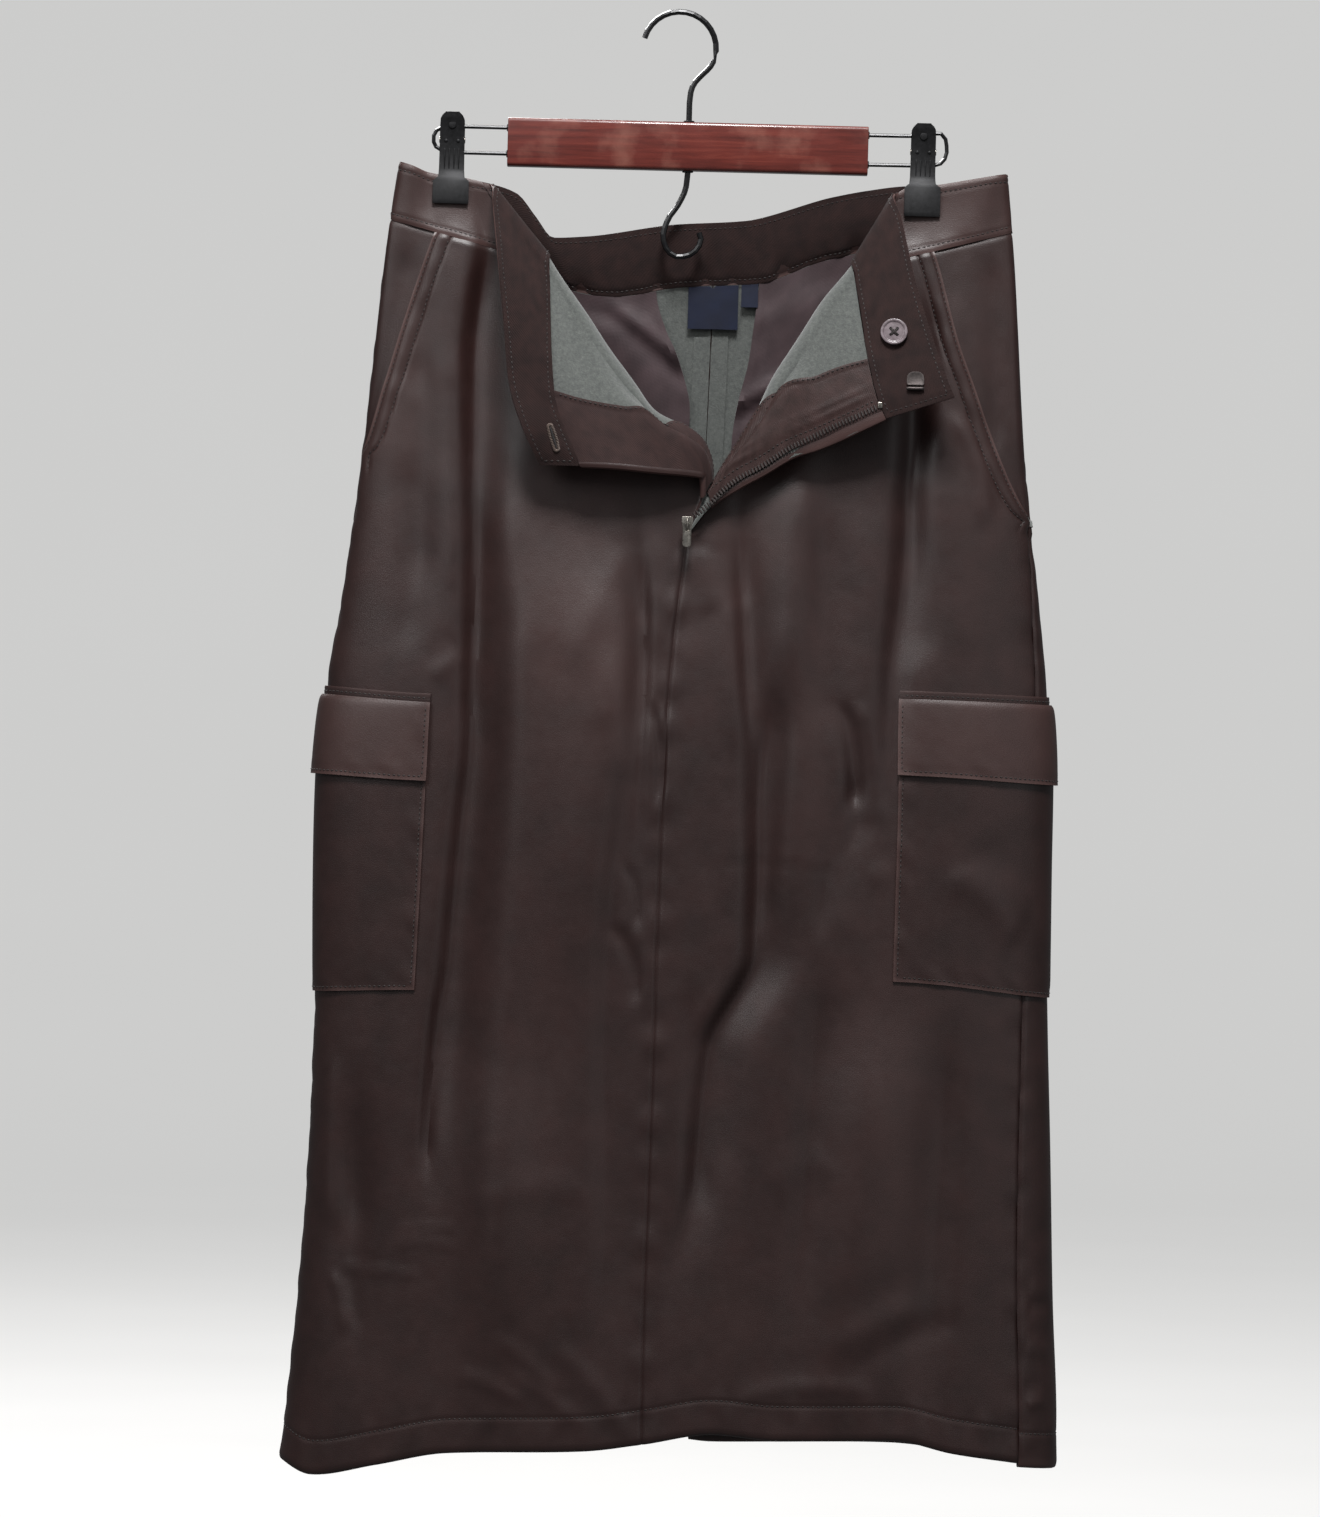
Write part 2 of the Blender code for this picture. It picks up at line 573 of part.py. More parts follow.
def block(name, low, high, material, bevel=0.0):
    """Box between two corners, with rounded edges."""
    shape = bmesh.new()
    bmesh.ops.create_cube(shape, size=1)
    low = np.array(low, float)
    high = np.array(high, float)
    for vert in shape.verts:
        vert.co = ((low + high) / 2 + np.array(vert.co) * (high - low)) * MM
    mesh = bpy.data.meshes.new(name)
    shape.to_mesh(mesh)
    shape.free()
    item = add_object(name, mesh, material)
    if bevel:
        rounded = item.modifiers.new("rounded", "BEVEL")
        rounded.width = bevel * MM
        rounded.segments = 2
    return item


def rod(name, centre, axis, radius, length, material, sides=20):
    """Cylinder about a point, along an axis."""
    shape = bmesh.new()
    bmesh.ops.create_cone(shape, cap_ends=True, segments=sides, radius1=radius * MM,
                          radius2=radius * MM, depth=length * MM)
    mesh = bpy.data.meshes.new(name)
    shape.to_mesh(mesh)
    shape.free()
    mesh.shade_smooth()
    mesh.set_sharp_from_angle(angle=math.radians(40))
    item = add_object(name, mesh, material)
    item.location = np.array(centre) * MM
    item.rotation_mode = "QUATERNION"
    item.rotation_quaternion = axis_turn(axis)
    return item


def axis_turn(axis):
    """Rotation that takes +Z to an axis."""
    return Vector(axis).to_track_quat("Z", "Y")


def cut(item, cutter):
    cutter.hide_render = True
    cutter.display_type = "WIRE"
    hole = item.modifiers.new("cut", "BOOLEAN")
    hole.operation = "DIFFERENCE"
    hole.object = cutter


# --- back ------------------------------------------------------------------------
def back_side_edges(v):
    """Section height of a row of the back, and where its seams and guides lie on it."""
    z_section = blend(WAIST_SECTION_Z, level_height(1, 0, "back"), v) if v < 1 else level_height(v, 0, "back")
    whole = outline(z_section)[2][-1]
    middle_x = float(smooth(BACK_SEAM["z"], BACK_SEAM["x"], z_section))
    places = {"right_seam": side_arc(z_section, "right"),
              "middle": arc_at(z_section, middle_x, "back"),
              "left_seam": whole}
    for key in ("back_right", "back_left"):
        x = float(smooth(GUIDES["v"], GUIDES[key], v))
        places[key] = arc_at(z_section, x, "back")
    return z_section, places


BAND_ARCS = [arc_at(WAIST_SECTION_Z, x, "back") for x in BACK_BAND["seam_x"]]


def of_back_band(column, arc):
    """A column of the back waistband's table, at a place along the waist section."""
    return float(smooth(BAND_ARCS, BACK_BAND[column], arc))


def back_point(v, z_section, arc):
    x, y = point_at(z_section, arc)
    if v >= 1:
        z = level_height(v, x, "back")
        return wall_point(z, z, arc_same_share(z_section, z, arc))
    lower = level_height(1, x, "back")
    waist_arc = arc_same_share(z_section, WAIST_SECTION_Z, arc)
    z = blend(of_back_band("seam_z", waist_arc), lower, v)
    bow = (of_back_band("seam_y", waist_arc) - point_at(WAIST_SECTION_Z, waist_arc)[1]) * (1 - v) ** 2
    point = wall_point(z_section, z, arc)
    if y >= -0.5:
        point[1] += bow
    return point


def back_arcs(v):
    """Section height of a row of the back and its columns' places along the section."""
    z_section, places = back_side_edges(v)
    stops = [places[key] for key in ("right_seam", "back_right", "middle", "back_left", "left_seam")]
    outer, inner = BACK_STEPS["outer"], BACK_STEPS["inner"]
    arcs = spread(stops[0], stops[1], outer, SIDE_CROWDING)
    arcs += spread(stops[1], stops[2], inner)
    arcs += spread(stops[2], stops[3], inner)
    arcs += spread_back(stops[3], stops[4], outer, SIDE_CROWDING)
    arcs.append(stops[4])
    return z_section, arcs


def back_rows():
    """Rows of the whole back, from the right side seam round to the left one."""
    rows = []
    for v in ROWS_ABOVE_ZIP_END + ROWS_BELOW:
        z_section, arcs = back_arcs(v)
        rows.append([back_point(v, z_section, arc) for arc in arcs])
    return np.array(rows)


def row_of(v):
    return ALL_ROWS.index(v)


def open_slit(grid, column):
    """Part the back seam below the slit's top."""
    step = 1 if column == 0 else -1
    grid = grid.copy()
    for row in grid:
        below = max(0.0, (SLIT_TOP - row[column][2]) / (SLIT_TOP - HEM["back_z"][HEM_MIDDLE]))
        way = row[column + step] - row[column]
        row[column] += way / np.linalg.norm(way) * SLIT_HALF * below
    return grid


def build_backs(leather):
    rows = back_rows()
    right = pulled_in(rows[:, :BACK_MIDDLE + 1], 0, SEAM_GAP / 2)
    left = pulled_in(rows[:, BACK_MIDDLE:], -1, SEAM_GAP / 2)
    right = open_slit(pulled_in(right, -1, SEAM_GAP / 2), -1)
    left = open_slit(pulled_in(left, 0, SEAM_GAP / 2), 0)
    cloth_wall("back_right_panel", [right], LEATHER, leather)
    cloth_wall("back_left_panel", [left], LEATHER, leather)
    return rows


def build_back_band(rows, leather, twill):
    """Back waistband and its facing, over the seam's own columns."""
    arcs = back_arcs(0)[1]
    grid = []
    for share in BAND_ROWS:
        line = []
        for arc, point in zip(arcs, rows[0]):
            top = np.array([of_back_band("top_" + axis, arc) for axis in "xyz"])
            whole = np.linalg.norm(point - top)
            down = share * (1 - SEAM_GAP / whole)
            place = blend(top, point, down)
            place[1] = blend(top[1], point[1], down ** PINCH)
            line.append(place)
        grid.append(line)
    grid = pulled_in(pulled_in(np.array(grid), 0, 2 * SEAM_GAP), -1, 2 * SEAM_GAP)
    cloth_wall("waistband_back", [grid], LEATHER, leather)
    inside = moved(grid, -UNDER - 0.1)[:, 1:-1]
    cloth_wall("facing_back", [inside], TWILL, twill)
    return inside


# --- fronts ----------------------------------------------------------------------
def column_u(side):
    """The u of each column of a front, hip first."""
    parts = [(-1, "hip"), (0, "side"), (1, "main"), (2, "roll"), (3, "knit"), (4, "cover")]
    if side == "right":
        parts.append((5, "edge"))
    places = []
    for start, key in parts:
        places += spread(start, start + 1, FRONT_STEPS[key])
    places.append(parts[-1][0] + 1)
    return places


def columns(side):
    """Index of the first column of each stretch of a front."""
    at = {"slant": HIP}
    at["guide"] = at["slant"] + FRONT_STEPS["side"]
    at["roll"] = at["guide"] + FRONT_STEPS["main"]
    at["knit"] = at["roll"] + FRONT_STEPS["roll"]
    at["cover"] = at["knit"] + FRONT_STEPS["knit"]
    at["teeth"] = at["cover"] + FRONT_STEPS["cover"]
    at["edge"] = at["teeth"] + (FRONT_STEPS["edge"] if side == "right" else 0)
    return at


def build_front(side, leather, twill):
    """One front with its hip facing, waistband, waistband facing and fly pieces."""
    main, turned = front_rows(side, with_hip=True)
    at = columns(side)
    facing_way = 1 if side == "left" else -1
    upper = np.concatenate([main[:ZIP_END_ROW + 1], turned[:, 1:]], axis=1)
    out = out_normals(upper) * facing_way
    panel_main = main[:, HIP:].copy()
    closed_from = next(i for i, v in enumerate(ALL_ROWS) if side_height(v, side) <= SLANT[side]["z"][-1])
    panel_main[closed_from:] = pulled_in(panel_main, 0, SEAM_GAP / 2)[closed_from:]
    turned_over = side == "right"
    cloth_wall("front_" + side + "_panel", [panel_main, turned], LEATHER, leather, turned_over)

    hip_end = HIP + 2
    hip = upper[:closed_from, :hip_end + 1]
    inset = np.array([0, 0.1, 0.6, 1, 1, 1, 1]) * ON_TOP
    hip = pulled_in(hip - out[:closed_from, :hip_end + 1] * inset[None, :, None], 0, 2 * SEAM_GAP)
    hip = pulled_in(hip.transpose(1, 0, 2), 0, SEAM_GAP).transpose(1, 0, 2)
    cloth_wall("hip_facing_" + side, [hip], LEATHER, leather, turned_over)

    band = []
    for share in BAND_ROWS:
        line = []
        for u, point in zip(column_u(side), upper[0]):
            top = np.array([float(smooth(BAND_TOP[side]["u"], BAND_TOP[side][axis], u))
                            for axis in "xyz"])
            gap = SEAM_GAP * (2 if 1.5 < u < 3.7 else 1)
            down = share * (1 - gap / np.linalg.norm(point - top))
            place = blend(top, point, down)
            place[1] = blend(top[1], point[1], down ** PINCH if u < 2 else down)
            line.append(place)
        band.append(line)
    band = pulled_in(np.array(band), 0, 2 * SEAM_GAP)
    band_out = out_normals(band) * facing_way
    cloth_wall("waistband_front_" + side, [band], LEATHER, leather, turned_over)
    band_facing = pulled_in(band - band_out * (UNDER + 0.25), 0, SIDE_PULL)
    cloth_wall("facing_front_" + side, [band_facing], TWILL, twill, turned_over)

    last = at["edge"] if side == "left" else at["teeth"]
    fly = (upper - out * UNDER)[:ZIP_END_ROW, at["cover"]:last + 1]
    fly_name = "fly_facing" if side == "left" else "zip_tape"
    cloth_wall(fly_name, [fly], TWILL, twill, turned_over)
    return {"main": main, "upper": upper, "out": out, "band_facing": band_facing,
            "band_out": band_out, "at": at}


# --- cargo pockets ---------------------------------------------------------------
def pocket_block(side, front, back):
    """Grid of the skirt round its side, from the back guide to the front guide."""
    at = front["at"]
    if side == "left":
        back_part = back[:, BACK_MIDDLE + BACK_STEPS["inner"]:]
        front_part = front["main"][:, HIP:at["guide"] + 1]
        return np.concatenate([back_part, front_part[:, 1:]], axis=1)
    front_part = front["main"][:, HIP:at["guide"] + 1][:, ::-1]
    back_part = back[:, :BACK_STEPS["outer"] + 1]
    return np.concatenate([front_part, back_part[:, 1:]], axis=1)


def inset_edges(grid, amount, top=True, bottom=True):
    """Pull the edges of a grid in, so that it stays clear of what lies beside it."""
    grid = pulled_in(pulled_in(grid, 0, amount), -1, amount)
    turned = grid.transpose(1, 0, 2)
    if top:
        turned = pulled_in(turned, 0, amount)
    if bottom:
        turned = pulled_in(turned, -1, amount)
    return turned.transpose(1, 0, 2)


def build_cargo_pocket(side, front, back, leather):
    """Pocket body, flap and the stitched tuck above the flap."""
    whole = pocket_block(side, front, back)
    out = out_normals(whole)
    top, flap_top, flap_end, low = row_of(2), row_of(2.1), row_of(2.4), row_of(3)

    body = whole[flap_top:low + 1]
    rows, count = body.shape[:2]
    down = np.linspace(0, 1, rows)[:, None]
    across = np.linspace(0, 1, count)[None, :]
    fullness = 3.0 * (np.sin(math.pi * across) * np.sin(math.pi * down ** 0.7)) ** 0.8
    body = body + out[flap_top:low + 1] * (ON_TOP + fullness[:, :, None])
    cloth_wall("cargo_pocket_" + side, [inset_edges(body, 0.6)], LEATHER, leather)

    flap_rows = flap_end - flap_top + 1
    hang = np.linspace(0, 1, flap_rows)[:, None, None]
    under = fullness[:flap_rows, :, None]
    flap = whole[flap_top:flap_end + 1] + out[flap_top:flap_end + 1] * (2 * ON_TOP + under + 1.2 * hang)
    cloth_wall("cargo_flap_" + side, [flap], LEATHER, leather)

    tuck = whole[top:flap_top + 1] + out[top:flap_top + 1] * ON_TOP
    cloth_wall("cargo_tuck_" + side, [inset_edges(tuck, 0.3)], LEATHER, leather)


# --- what shows inside the open waist ----------------------------------------------
def back_wall_y(x, z):
    """The back wall's y at a place, seen from the front."""
    waist_arc = arc_at(WAIST_SECTION_Z, x, "back")
    seam_z = of_back_band("seam_z", waist_arc)
    v = min(1.0, max(0.0, (seam_z - z) / (seam_z - LEVELS["middle"][0])))
    section_z = blend(WAIST_SECTION_Z, LEVELS["middle"][0], v)
    y = point_at(section_z, arc_at(section_z, x, "back"))[1]
    bow = of_back_band("seam_y", waist_arc) - point_at(WAIST_SECTION_Z, waist_arc)[1]
    return y + bow * (1 - v) ** 2


def facing_edge(inside, x):
    """Lower edge of the back facing near x: its y and its lowest z."""
    edge = inside[-1][::-1]
    low = min(np.interp(x + aside, edge[:, 0], edge[:, 2]) for aside in (-EDGE_LOOK, 0, EDGE_LOOK))
    return np.interp(x, edge[:, 0], edge[:, 1]), low


def build_bags(inside, twill):
    for side, table in BAGS.items():
        grid = []
        for depth in BAG_DEPTHS:
            line = []
            for i in range(BAG_COLUMNS + 1):
                share = i / BAG_COLUMNS
                start_z = table["z"][1] if depth == 0 else blend(table["z"][1], BAG_LOW, depth)
                left = float(smooth(table["z"], table["outer_x"], start_z))
                right = float(smooth(table["z"], table["inner_x"], start_z))
                x = blend(left, right, share) if side == "left" else blend(right, left, share)
                top_y, top_z = facing_edge(inside, x)
                z = blend(top_z - HUNG_GAP, BAG_LOW, depth)
                stand = UNDER + 2.6 + 7 * depth
                line.append([x, top_y if depth == 0 else back_wall_y(x, z) - stand, z])
            grid.append(line)
        cloth_wall("pocket_bag_" + side, [np.array(grid)], TWILL, twill)


def build_label(name, sizes, inside, material):
    """Small sheet sewn in under the back facing."""
    grid = []
    for share in (0, 0.5, 1):
        line = []
        for across in (0, 0.5, 1):
            x = blend(sizes["left"], sizes["right"], across)
            top_y, top_z = facing_edge(inside, x)
            z = blend(top_z - HUNG_GAP, sizes["low"], share)
            line.append([x, top_y if share == 0 else back_wall_y(x, z) - UNDER - 2.0 * share, z])
        grid.append(line)
    cloth_wall(name, [np.array(grid)], TWILL, material)


# --- zip -------------------------------------------------------------------------
def build_zip(front, metal):
    """Chain along the right front's zip line, the slider and its pull tab."""
    at = front["at"]
    upper = front["upper"]
    out = front["out"]
    stand = LEATHER / 2 + LAYER_GAP + CHAIN_THICK / 2
    lines = []
    for offset in (LAYER_GAP, LAYER_GAP + CHAIN_WIDTH):
        line = []
        for r in range(ZIP_END_ROW):
            teeth = upper[r, at["teeth"]]
            way = upper[r, at["edge"]] - teeth
            line.append(teeth + way / np.linalg.norm(way) * offset - out[r, at["edge"]] * stand)
        end = np.array([SLIDER["x"] + 1.2 + offset, SLIDER_BACK_Y - SLIDER["thick"] / 2,
                        SLIDER["z"] + SLIDER["high"] / 2 + LAYER_GAP])
        line.append(end)
        lines.append(line)
    grid = np.array(lines).transpose(1, 0, 2)
    cloth_wall("zip_chain", [grid], CHAIN_THICK, metal)

    front_y = SLIDER_BACK_Y - SLIDER["thick"]
    half = SLIDER["wide"] / 2
    low_z = SLIDER["z"] - SLIDER["high"] / 2
    slider = block("zip_slider", (SLIDER["x"] - half, front_y, low_z),
                   (SLIDER["x"] + half, SLIDER_BACK_Y, low_z + SLIDER["high"]), metal, bevel=0.8)
    ring = bmesh.new()
    outline_yz = [(front_y + 0.3, BAIL["half_high"]), (front_y - BAIL["deep"], BAIL["half_high"]),
                  (front_y - BAIL["deep"], -BAIL["half_high"]), (front_y + 0.3, -BAIL["half_high"]),
                  (front_y + 0.3, -BAIL["half_high"] + BAIL["bar"]),
                  (front_y - BAIL["deep"] + BAIL["bar"], -BAIL["half_high"] + BAIL["bar"]),
                  (front_y - BAIL["deep"] + BAIL["bar"], BAIL["half_high"] - BAIL["bar"]),
                  (front_y + 0.3, BAIL["half_high"] - BAIL["bar"])]
    corners = [ring.verts.new((np.array([SLIDER["x"] - BAIL["wide"] / 2, y, SLIDER["z"] + z]) * MM))
               for y, z in outline_yz]
    face = ring.faces.new(corners)
    grown = bmesh.ops.extrude_face_region(ring, geom=[face])
    for vert in (v for v in grown["geom"] if isinstance(v, bmesh.types.BMVert)):
        vert.co.x += BAIL["wide"] * MM
    bmesh.ops.recalc_face_normals(ring, faces=ring.faces)
    mesh = bpy.data.meshes.new("slider_bail")
    ring.to_mesh(mesh)
    ring.free()
    bail = add_object("slider_bail", mesh, metal)
    bail.hide_render = True
    bail.display_type = "WIRE"
    joined = slider.modifiers.new("bail", "BOOLEAN")
    joined.operation = "UNION"
    joined.object = bail

    axis_y = front_y - (BAIL["deep"] - BAIL["bar"]) / 2
    pull_z = SLIDER["z"]
    holder = bpy.data.objects.new("zip_pull_axis", None)
    bpy.context.scene.collection.objects.link(holder)
    holder.location = (SLIDER["x"] * MM, axis_y * MM, pull_z * MM)
    pull = block("zip_pull", (-PULL["wide"] / 2, -PULL["thick"] / 2, -PULL["long"]),
                 (PULL["wide"] / 2, PULL["thick"] / 2, PULL["above"]), metal, bevel=0.3)
    slot = block("pull_slot", (-PULL["slot_wide"] / 2, -3, -PULL["slot_low"]),
                 (PULL["slot_wide"] / 2, 3, -PULL["slot_top"]), metal)
    slot.parent = holder
    pull.parent = holder
    cut(pull, slot)


# --- button and hook tab -----------------------------------------------------------
def on_facing(front, x, z):
    """Nearest place on the turned waistband's facing, and its normal to the viewer."""
    grid = front["band_facing"]
    out = front["band_out"]
    start = front["at"]["knit"]
    best = None
    for r in range(len(grid) - 1):
        for c in range(start, grid.shape[1] - 1):
            for i in np.linspace(0, 1, 9):
                for j in np.linspace(0, 1, 9):
                    upper = blend(grid[r, c], grid[r, c + 1], j)
                    lower = blend(grid[r + 1, c], grid[r + 1, c + 1], j)
                    place = blend(upper, lower, i)
                    miss = math.hypot(place[0] - x, place[2] - z)
                    if best is None or miss < best[0]:
                        best = (miss, place, -out[r, c])
    return best[1], best[2]


def build_button(front, horn):
    place, way = on_facing(front, BUTTON["x"], BUTTON["z"])
    lift = TWILL / 2 + LAYER_GAP + BUTTON["lift"] + BUTTON["thick"] / 2
    centre = place + way * lift
    button = rod("waist_button", centre, way, BUTTON["radius"], BUTTON["thick"], horn, sides=32)
    rounded = button.modifiers.new("rounded", "BEVEL")
    rounded.width = 0.5 * MM
    rounded.segments = 2
    rounded.limit_method = "ANGLE"
    dish = rod("button_dish", centre + way * BUTTON["thick"] / 2, way,
               BUTTON["radius"] - BUTTON["rim"], 1.0, horn, sides=32)
    cut(button, dish)
    turn = axis_turn(way)
    for i in (-1, 1):
        for j in (-1, 1):
            aside = turn @ Vector((i * BUTTON["spacing"], j * BUTTON["spacing"], 0))
            hole = rod("button_hole", centre + np.array(aside), way, BUTTON["hole"], 8, horn, sides=10)
            cut(button, hole)


def build_hook_tab(front, metal):
    """Metal plate of the waist hook, on the facing below the button."""
    place, way = on_facing(front, HOOK_TAB["x"], HOOK_TAB["z"])
    lift = TWILL / 2 + LAYER_GAP + HOOK_TAB["lift"] + HOOK_TAB["thick"] / 2
    half = np.array([HOOK_TAB["wide"], HOOK_TAB["high"], HOOK_TAB["thick"]]) / 2
    tab = block("waist_hook_plate", -half, half, metal, bevel=0.5)
    tab.location = (place + way * lift) * MM
    tab.rotation_mode = "QUATERNION"
    tab.rotation_quaternion = axis_turn(way)


# --- hanger ----------------------------------------------------------------------
def rounded_route(xs, zs, y, points_each=4):
    """Smooth line through a few hand-set places of a wire."""
    knots = np.column_stack([xs, zs])
    lengths = np.concatenate([[0], np.cumsum(np.linalg.norm(np.diff(knots, axis=0), axis=1))])
    places = np.linspace(0, lengths[-1], points_each * (len(xs) - 1) + 1)
    return [(float(smooth(lengths, knots[:, 0], at)), y, float(smooth(lengths, knots[:, 1], at)))
            for at in places]


def build_hanger(wire, wood, black):
    arc = [math.radians(a) for a in range(165, -16, -12)]
    route = [(HOOK_RADIUS * math.cos(a), 0, HOOK_CENTRE_Z + HOOK_RADIUS * math.sin(a)) for a in arc]
    route += rounded_route(HOOK_NECK["x"], HOOK_NECK["z"], 0, points_each=2)
    lower = rounded_route(LOWER_HOOK["x"], LOWER_HOOK["z"], 0, points_each=2)
    route += [(x, LOWER_HOOK_Y * min(1, i / 6), z) for i, (x, _, z) in enumerate(lower)]
    tube("hanger_hook", route, WIRE_RADIUS, wire)

    bar = block("hanger_bar", (BAR["left"], -BAR["thick"] / 2, BAR["low"]),
                (BAR["right"], BAR["thick"] / 2, BAR["top"]), wood, bevel=2.0)
    middle = (BAR["top"] + BAR["low"]) / 2
    bore = rod("bar_bore", (STEM_X, 0, middle), (0, 0, 1), WIRE_RADIUS + 0.3, 60, wood)
    cut(bar, bore)

    for side in ("left", "right"):
        loop = LOOPS[side]
        tube("hanger_loop_" + side, rounded_route(loop["x"], loop["z"], 0, points_each=3),
             FRAME_RADIUS, wire)
        build_clip(side, black)


def build_clip(side, black):
    sizes = CLIPS[side]
    for name, way in (("front", -1), ("back", 1)):
        grid = []
        for share, half, stand in zip(*CLIP_PROFILE.values()):
            z = blend(sizes["top"], sizes["jaw"], share)
            if share > 1.2:
                z = sizes["end"]
            grid.append([[sizes["x"] + half * i / 2, way * stand, z] for i in (-2, -1, 1, 2)])
        cloth_wall("clip_" + side + "_" + name, [np.array(grid)], CLIP_THICK, black, way > 0)
    rod("clip_" + side + "_pin", (sizes["x"], 0, CLIP_PIN["z"]), (1, 0, 0), CLIP_PIN["radius"],
        CLIP_PIN["length"], black, sides=16)


def main():
    clear_scene()
    leather = finish("coated cloth", (0.042, 0.026, 0.024), 0.42)
    twill = finish("cotton twill", (0.035, 0.021, 0.019), 0.85)
    lining = finish("pocketing", (0.1, 0.068, 0.068), 0.7)
    navy = finish("woven label", (0.01, 0.02, 0.07), 0.7)
    horn = finish("horn resin", (0.26, 0.22, 0.22), 0.35)
    zip_metal = finish("bright nickel", (0.6, 0.58, 0.55), 0.25, 1.0)
    wire = finish("black wire", (0.02, 0.02, 0.022), 0.3, 0.8)
    black = finish("blackened steel", (0.018, 0.018, 0.02), 0.35, 0.8)
    wood = finish("varnished wood", (0.25, 0.07, 0.06), 0.25)

    back = build_backs(leather)
    inside = build_back_band(back, leather, twill)
    fronts = {side: build_front(side, leather, twill) for side in ("left", "right")}
    for side, front in fronts.items():
        build_cargo_pocket(side, front, back, leather)
    build_bags(inside, lining)
    build_label("neck_label", LABEL, inside, navy)
    build_label("size_tab", SIZE_TAB, inside, navy)
    build_zip(fronts["right"], zip_metal)
    build_button(fronts["right"], horn)
    build_hook_tab(fronts["right"], zip_metal)
    build_hanger(wire, wood, black)


main()
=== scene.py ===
# A long coated-cloth skirt with cargo pockets on a clip hanger: everything that the eye sees,
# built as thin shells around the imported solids. Tables are in millimetres, objects in metres.
# left and right are as seen from the front, which faces -Y; left is -X.
import math

import bmesh
import bpy
import numpy as np
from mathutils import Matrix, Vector
from mathutils.kdtree import KDTree


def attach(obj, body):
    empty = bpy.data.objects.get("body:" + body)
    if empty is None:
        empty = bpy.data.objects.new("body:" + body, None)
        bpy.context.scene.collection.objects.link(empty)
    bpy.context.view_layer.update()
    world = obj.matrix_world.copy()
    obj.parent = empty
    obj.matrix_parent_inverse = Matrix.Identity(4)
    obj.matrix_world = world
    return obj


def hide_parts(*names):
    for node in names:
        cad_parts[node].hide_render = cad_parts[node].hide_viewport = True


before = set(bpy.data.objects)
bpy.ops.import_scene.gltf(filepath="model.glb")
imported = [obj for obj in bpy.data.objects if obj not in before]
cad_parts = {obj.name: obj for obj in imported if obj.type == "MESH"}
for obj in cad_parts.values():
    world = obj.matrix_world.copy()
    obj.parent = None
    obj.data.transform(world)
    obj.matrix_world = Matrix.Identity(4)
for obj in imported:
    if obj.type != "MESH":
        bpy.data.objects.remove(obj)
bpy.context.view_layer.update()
mm = 0.001

# the flattened tube: its outline from the front and how far each wall stands off y = 0
sections = {
    "z":     (-100, -140, -180, -250, -315, -390, -450, -545, -650, -745, -840, -905, -965),
    "left":  (-181, -187, -191, -197, -203, -212, -220, -222, -222.5, -224, -228.5, -233.5, -239),
    "right": (217, 221.5, 225, 230, 236, 246, 252, 253.5, 257.5, 262, 266, 270, 272),
    "front": (6, 9, 13, 20, 27, 33, 37, 40, 42, 44, 46, 48, 49),
    "back":  (6, 9, 15, 24, 30, 35, 38, 40, 42, 43, 45, 46, 47),
    "power": (4, 4, 3.6, 3, 2.6, 2.5, 2.5, 2.5, 2.5, 2.5, 2.5, 2.5, 2.5),  # squareness at the sides
}
levelPlaces = (-224, -151, 0, 155, 256)   # x at which the levels' heights are given
levels = {                                # v: 1 zip end, 2 pocket top, 2.1 flap top, 2.4 flap end, 3 pocket end
    "v":           (1.0, 2.0, 2.1, 2.4, 3.0),
    "leftSide":    (-340, -446.5, -452.5, -504.5, -647.8),
    "leftPocket":  (-342, -450.4, -456.4, -507.6, -644.6),
    "middle":      (-344, -448.0, -453.6, -504.0, -646.0),
    "rightPocket": (-341, -440.6, -446.4, -496.0, -631.0),
    "rightSide":   (-338, -442.2, -448.0, -500.2, -639.8),
}
hemLine = {
    "x":     (-239, -215, -173, -128, -38, 0, 45, 86, 163, 202, 244, 272),
    "front": (-952, -961, -952.5, -943, -939, -933.5, -926, -929, -927.5, -935.5, -941.5, -946),
    "back":  (-952, -958, -952, -944, -936, -936, -940, -939, -937, -940, -944, -946),
}
waistSide = {"left": -139.5, "right": -137.5}
waistZ = waistSide["left"]                # the waist section's height
zipEnd = levels["middle"][0]
hem = {"stitch": 21, "turning": 22}
slantSewing = (2.2, 11.2)                 # the two stitch rows along a slanted pocket mouth
bandSewing = {"low": 4.2, "top": 5.2, "ends": (2, 2)}
guides = {                                # lines that run down the skirt, as x at v
    "v":         (0, 0.5, 1, 2, 3, 4),
    "left":      (-124, -143, -149, -150.6, -156, -168),
    "right":     (147, 154, 157, 155.4, 154.5, 160),
    "backLeft":  (-140, -158, -166, -168, -168, -172),
    "backRight": (150, 166, 172, 178, 180, 184),
}
middleSeam = {"z": (-344, -450, -549, -647, -752, -850, -960), "x": (12.5, 3.6, 0.9, 0.2, -1, -2, -0.8)}
backSeam = {"z": (-170, -450, -700, -960), "x": (26, 22, 22, 27)}
backSlit = {"top": -760, "half": 4.0, "hem": -933, "reach": 26}
rightSeam = {"z": (-140, -300, -418, -640, -787, -960), "inset": (0, 0, 6, 16, 23, 26)}
slants = {                                # the slanted pocket mouths
    "left":  {"z": (-140, -149.5, -246.5, -295, -306), "x": (-155, -159.6, -187.2, -199, -203)},
    "right": {"z": (-137, -149.3, -219, -271.5, -320, -332), "x": (168, 171.9, 189.5, 208.6, 230, 238)},
}
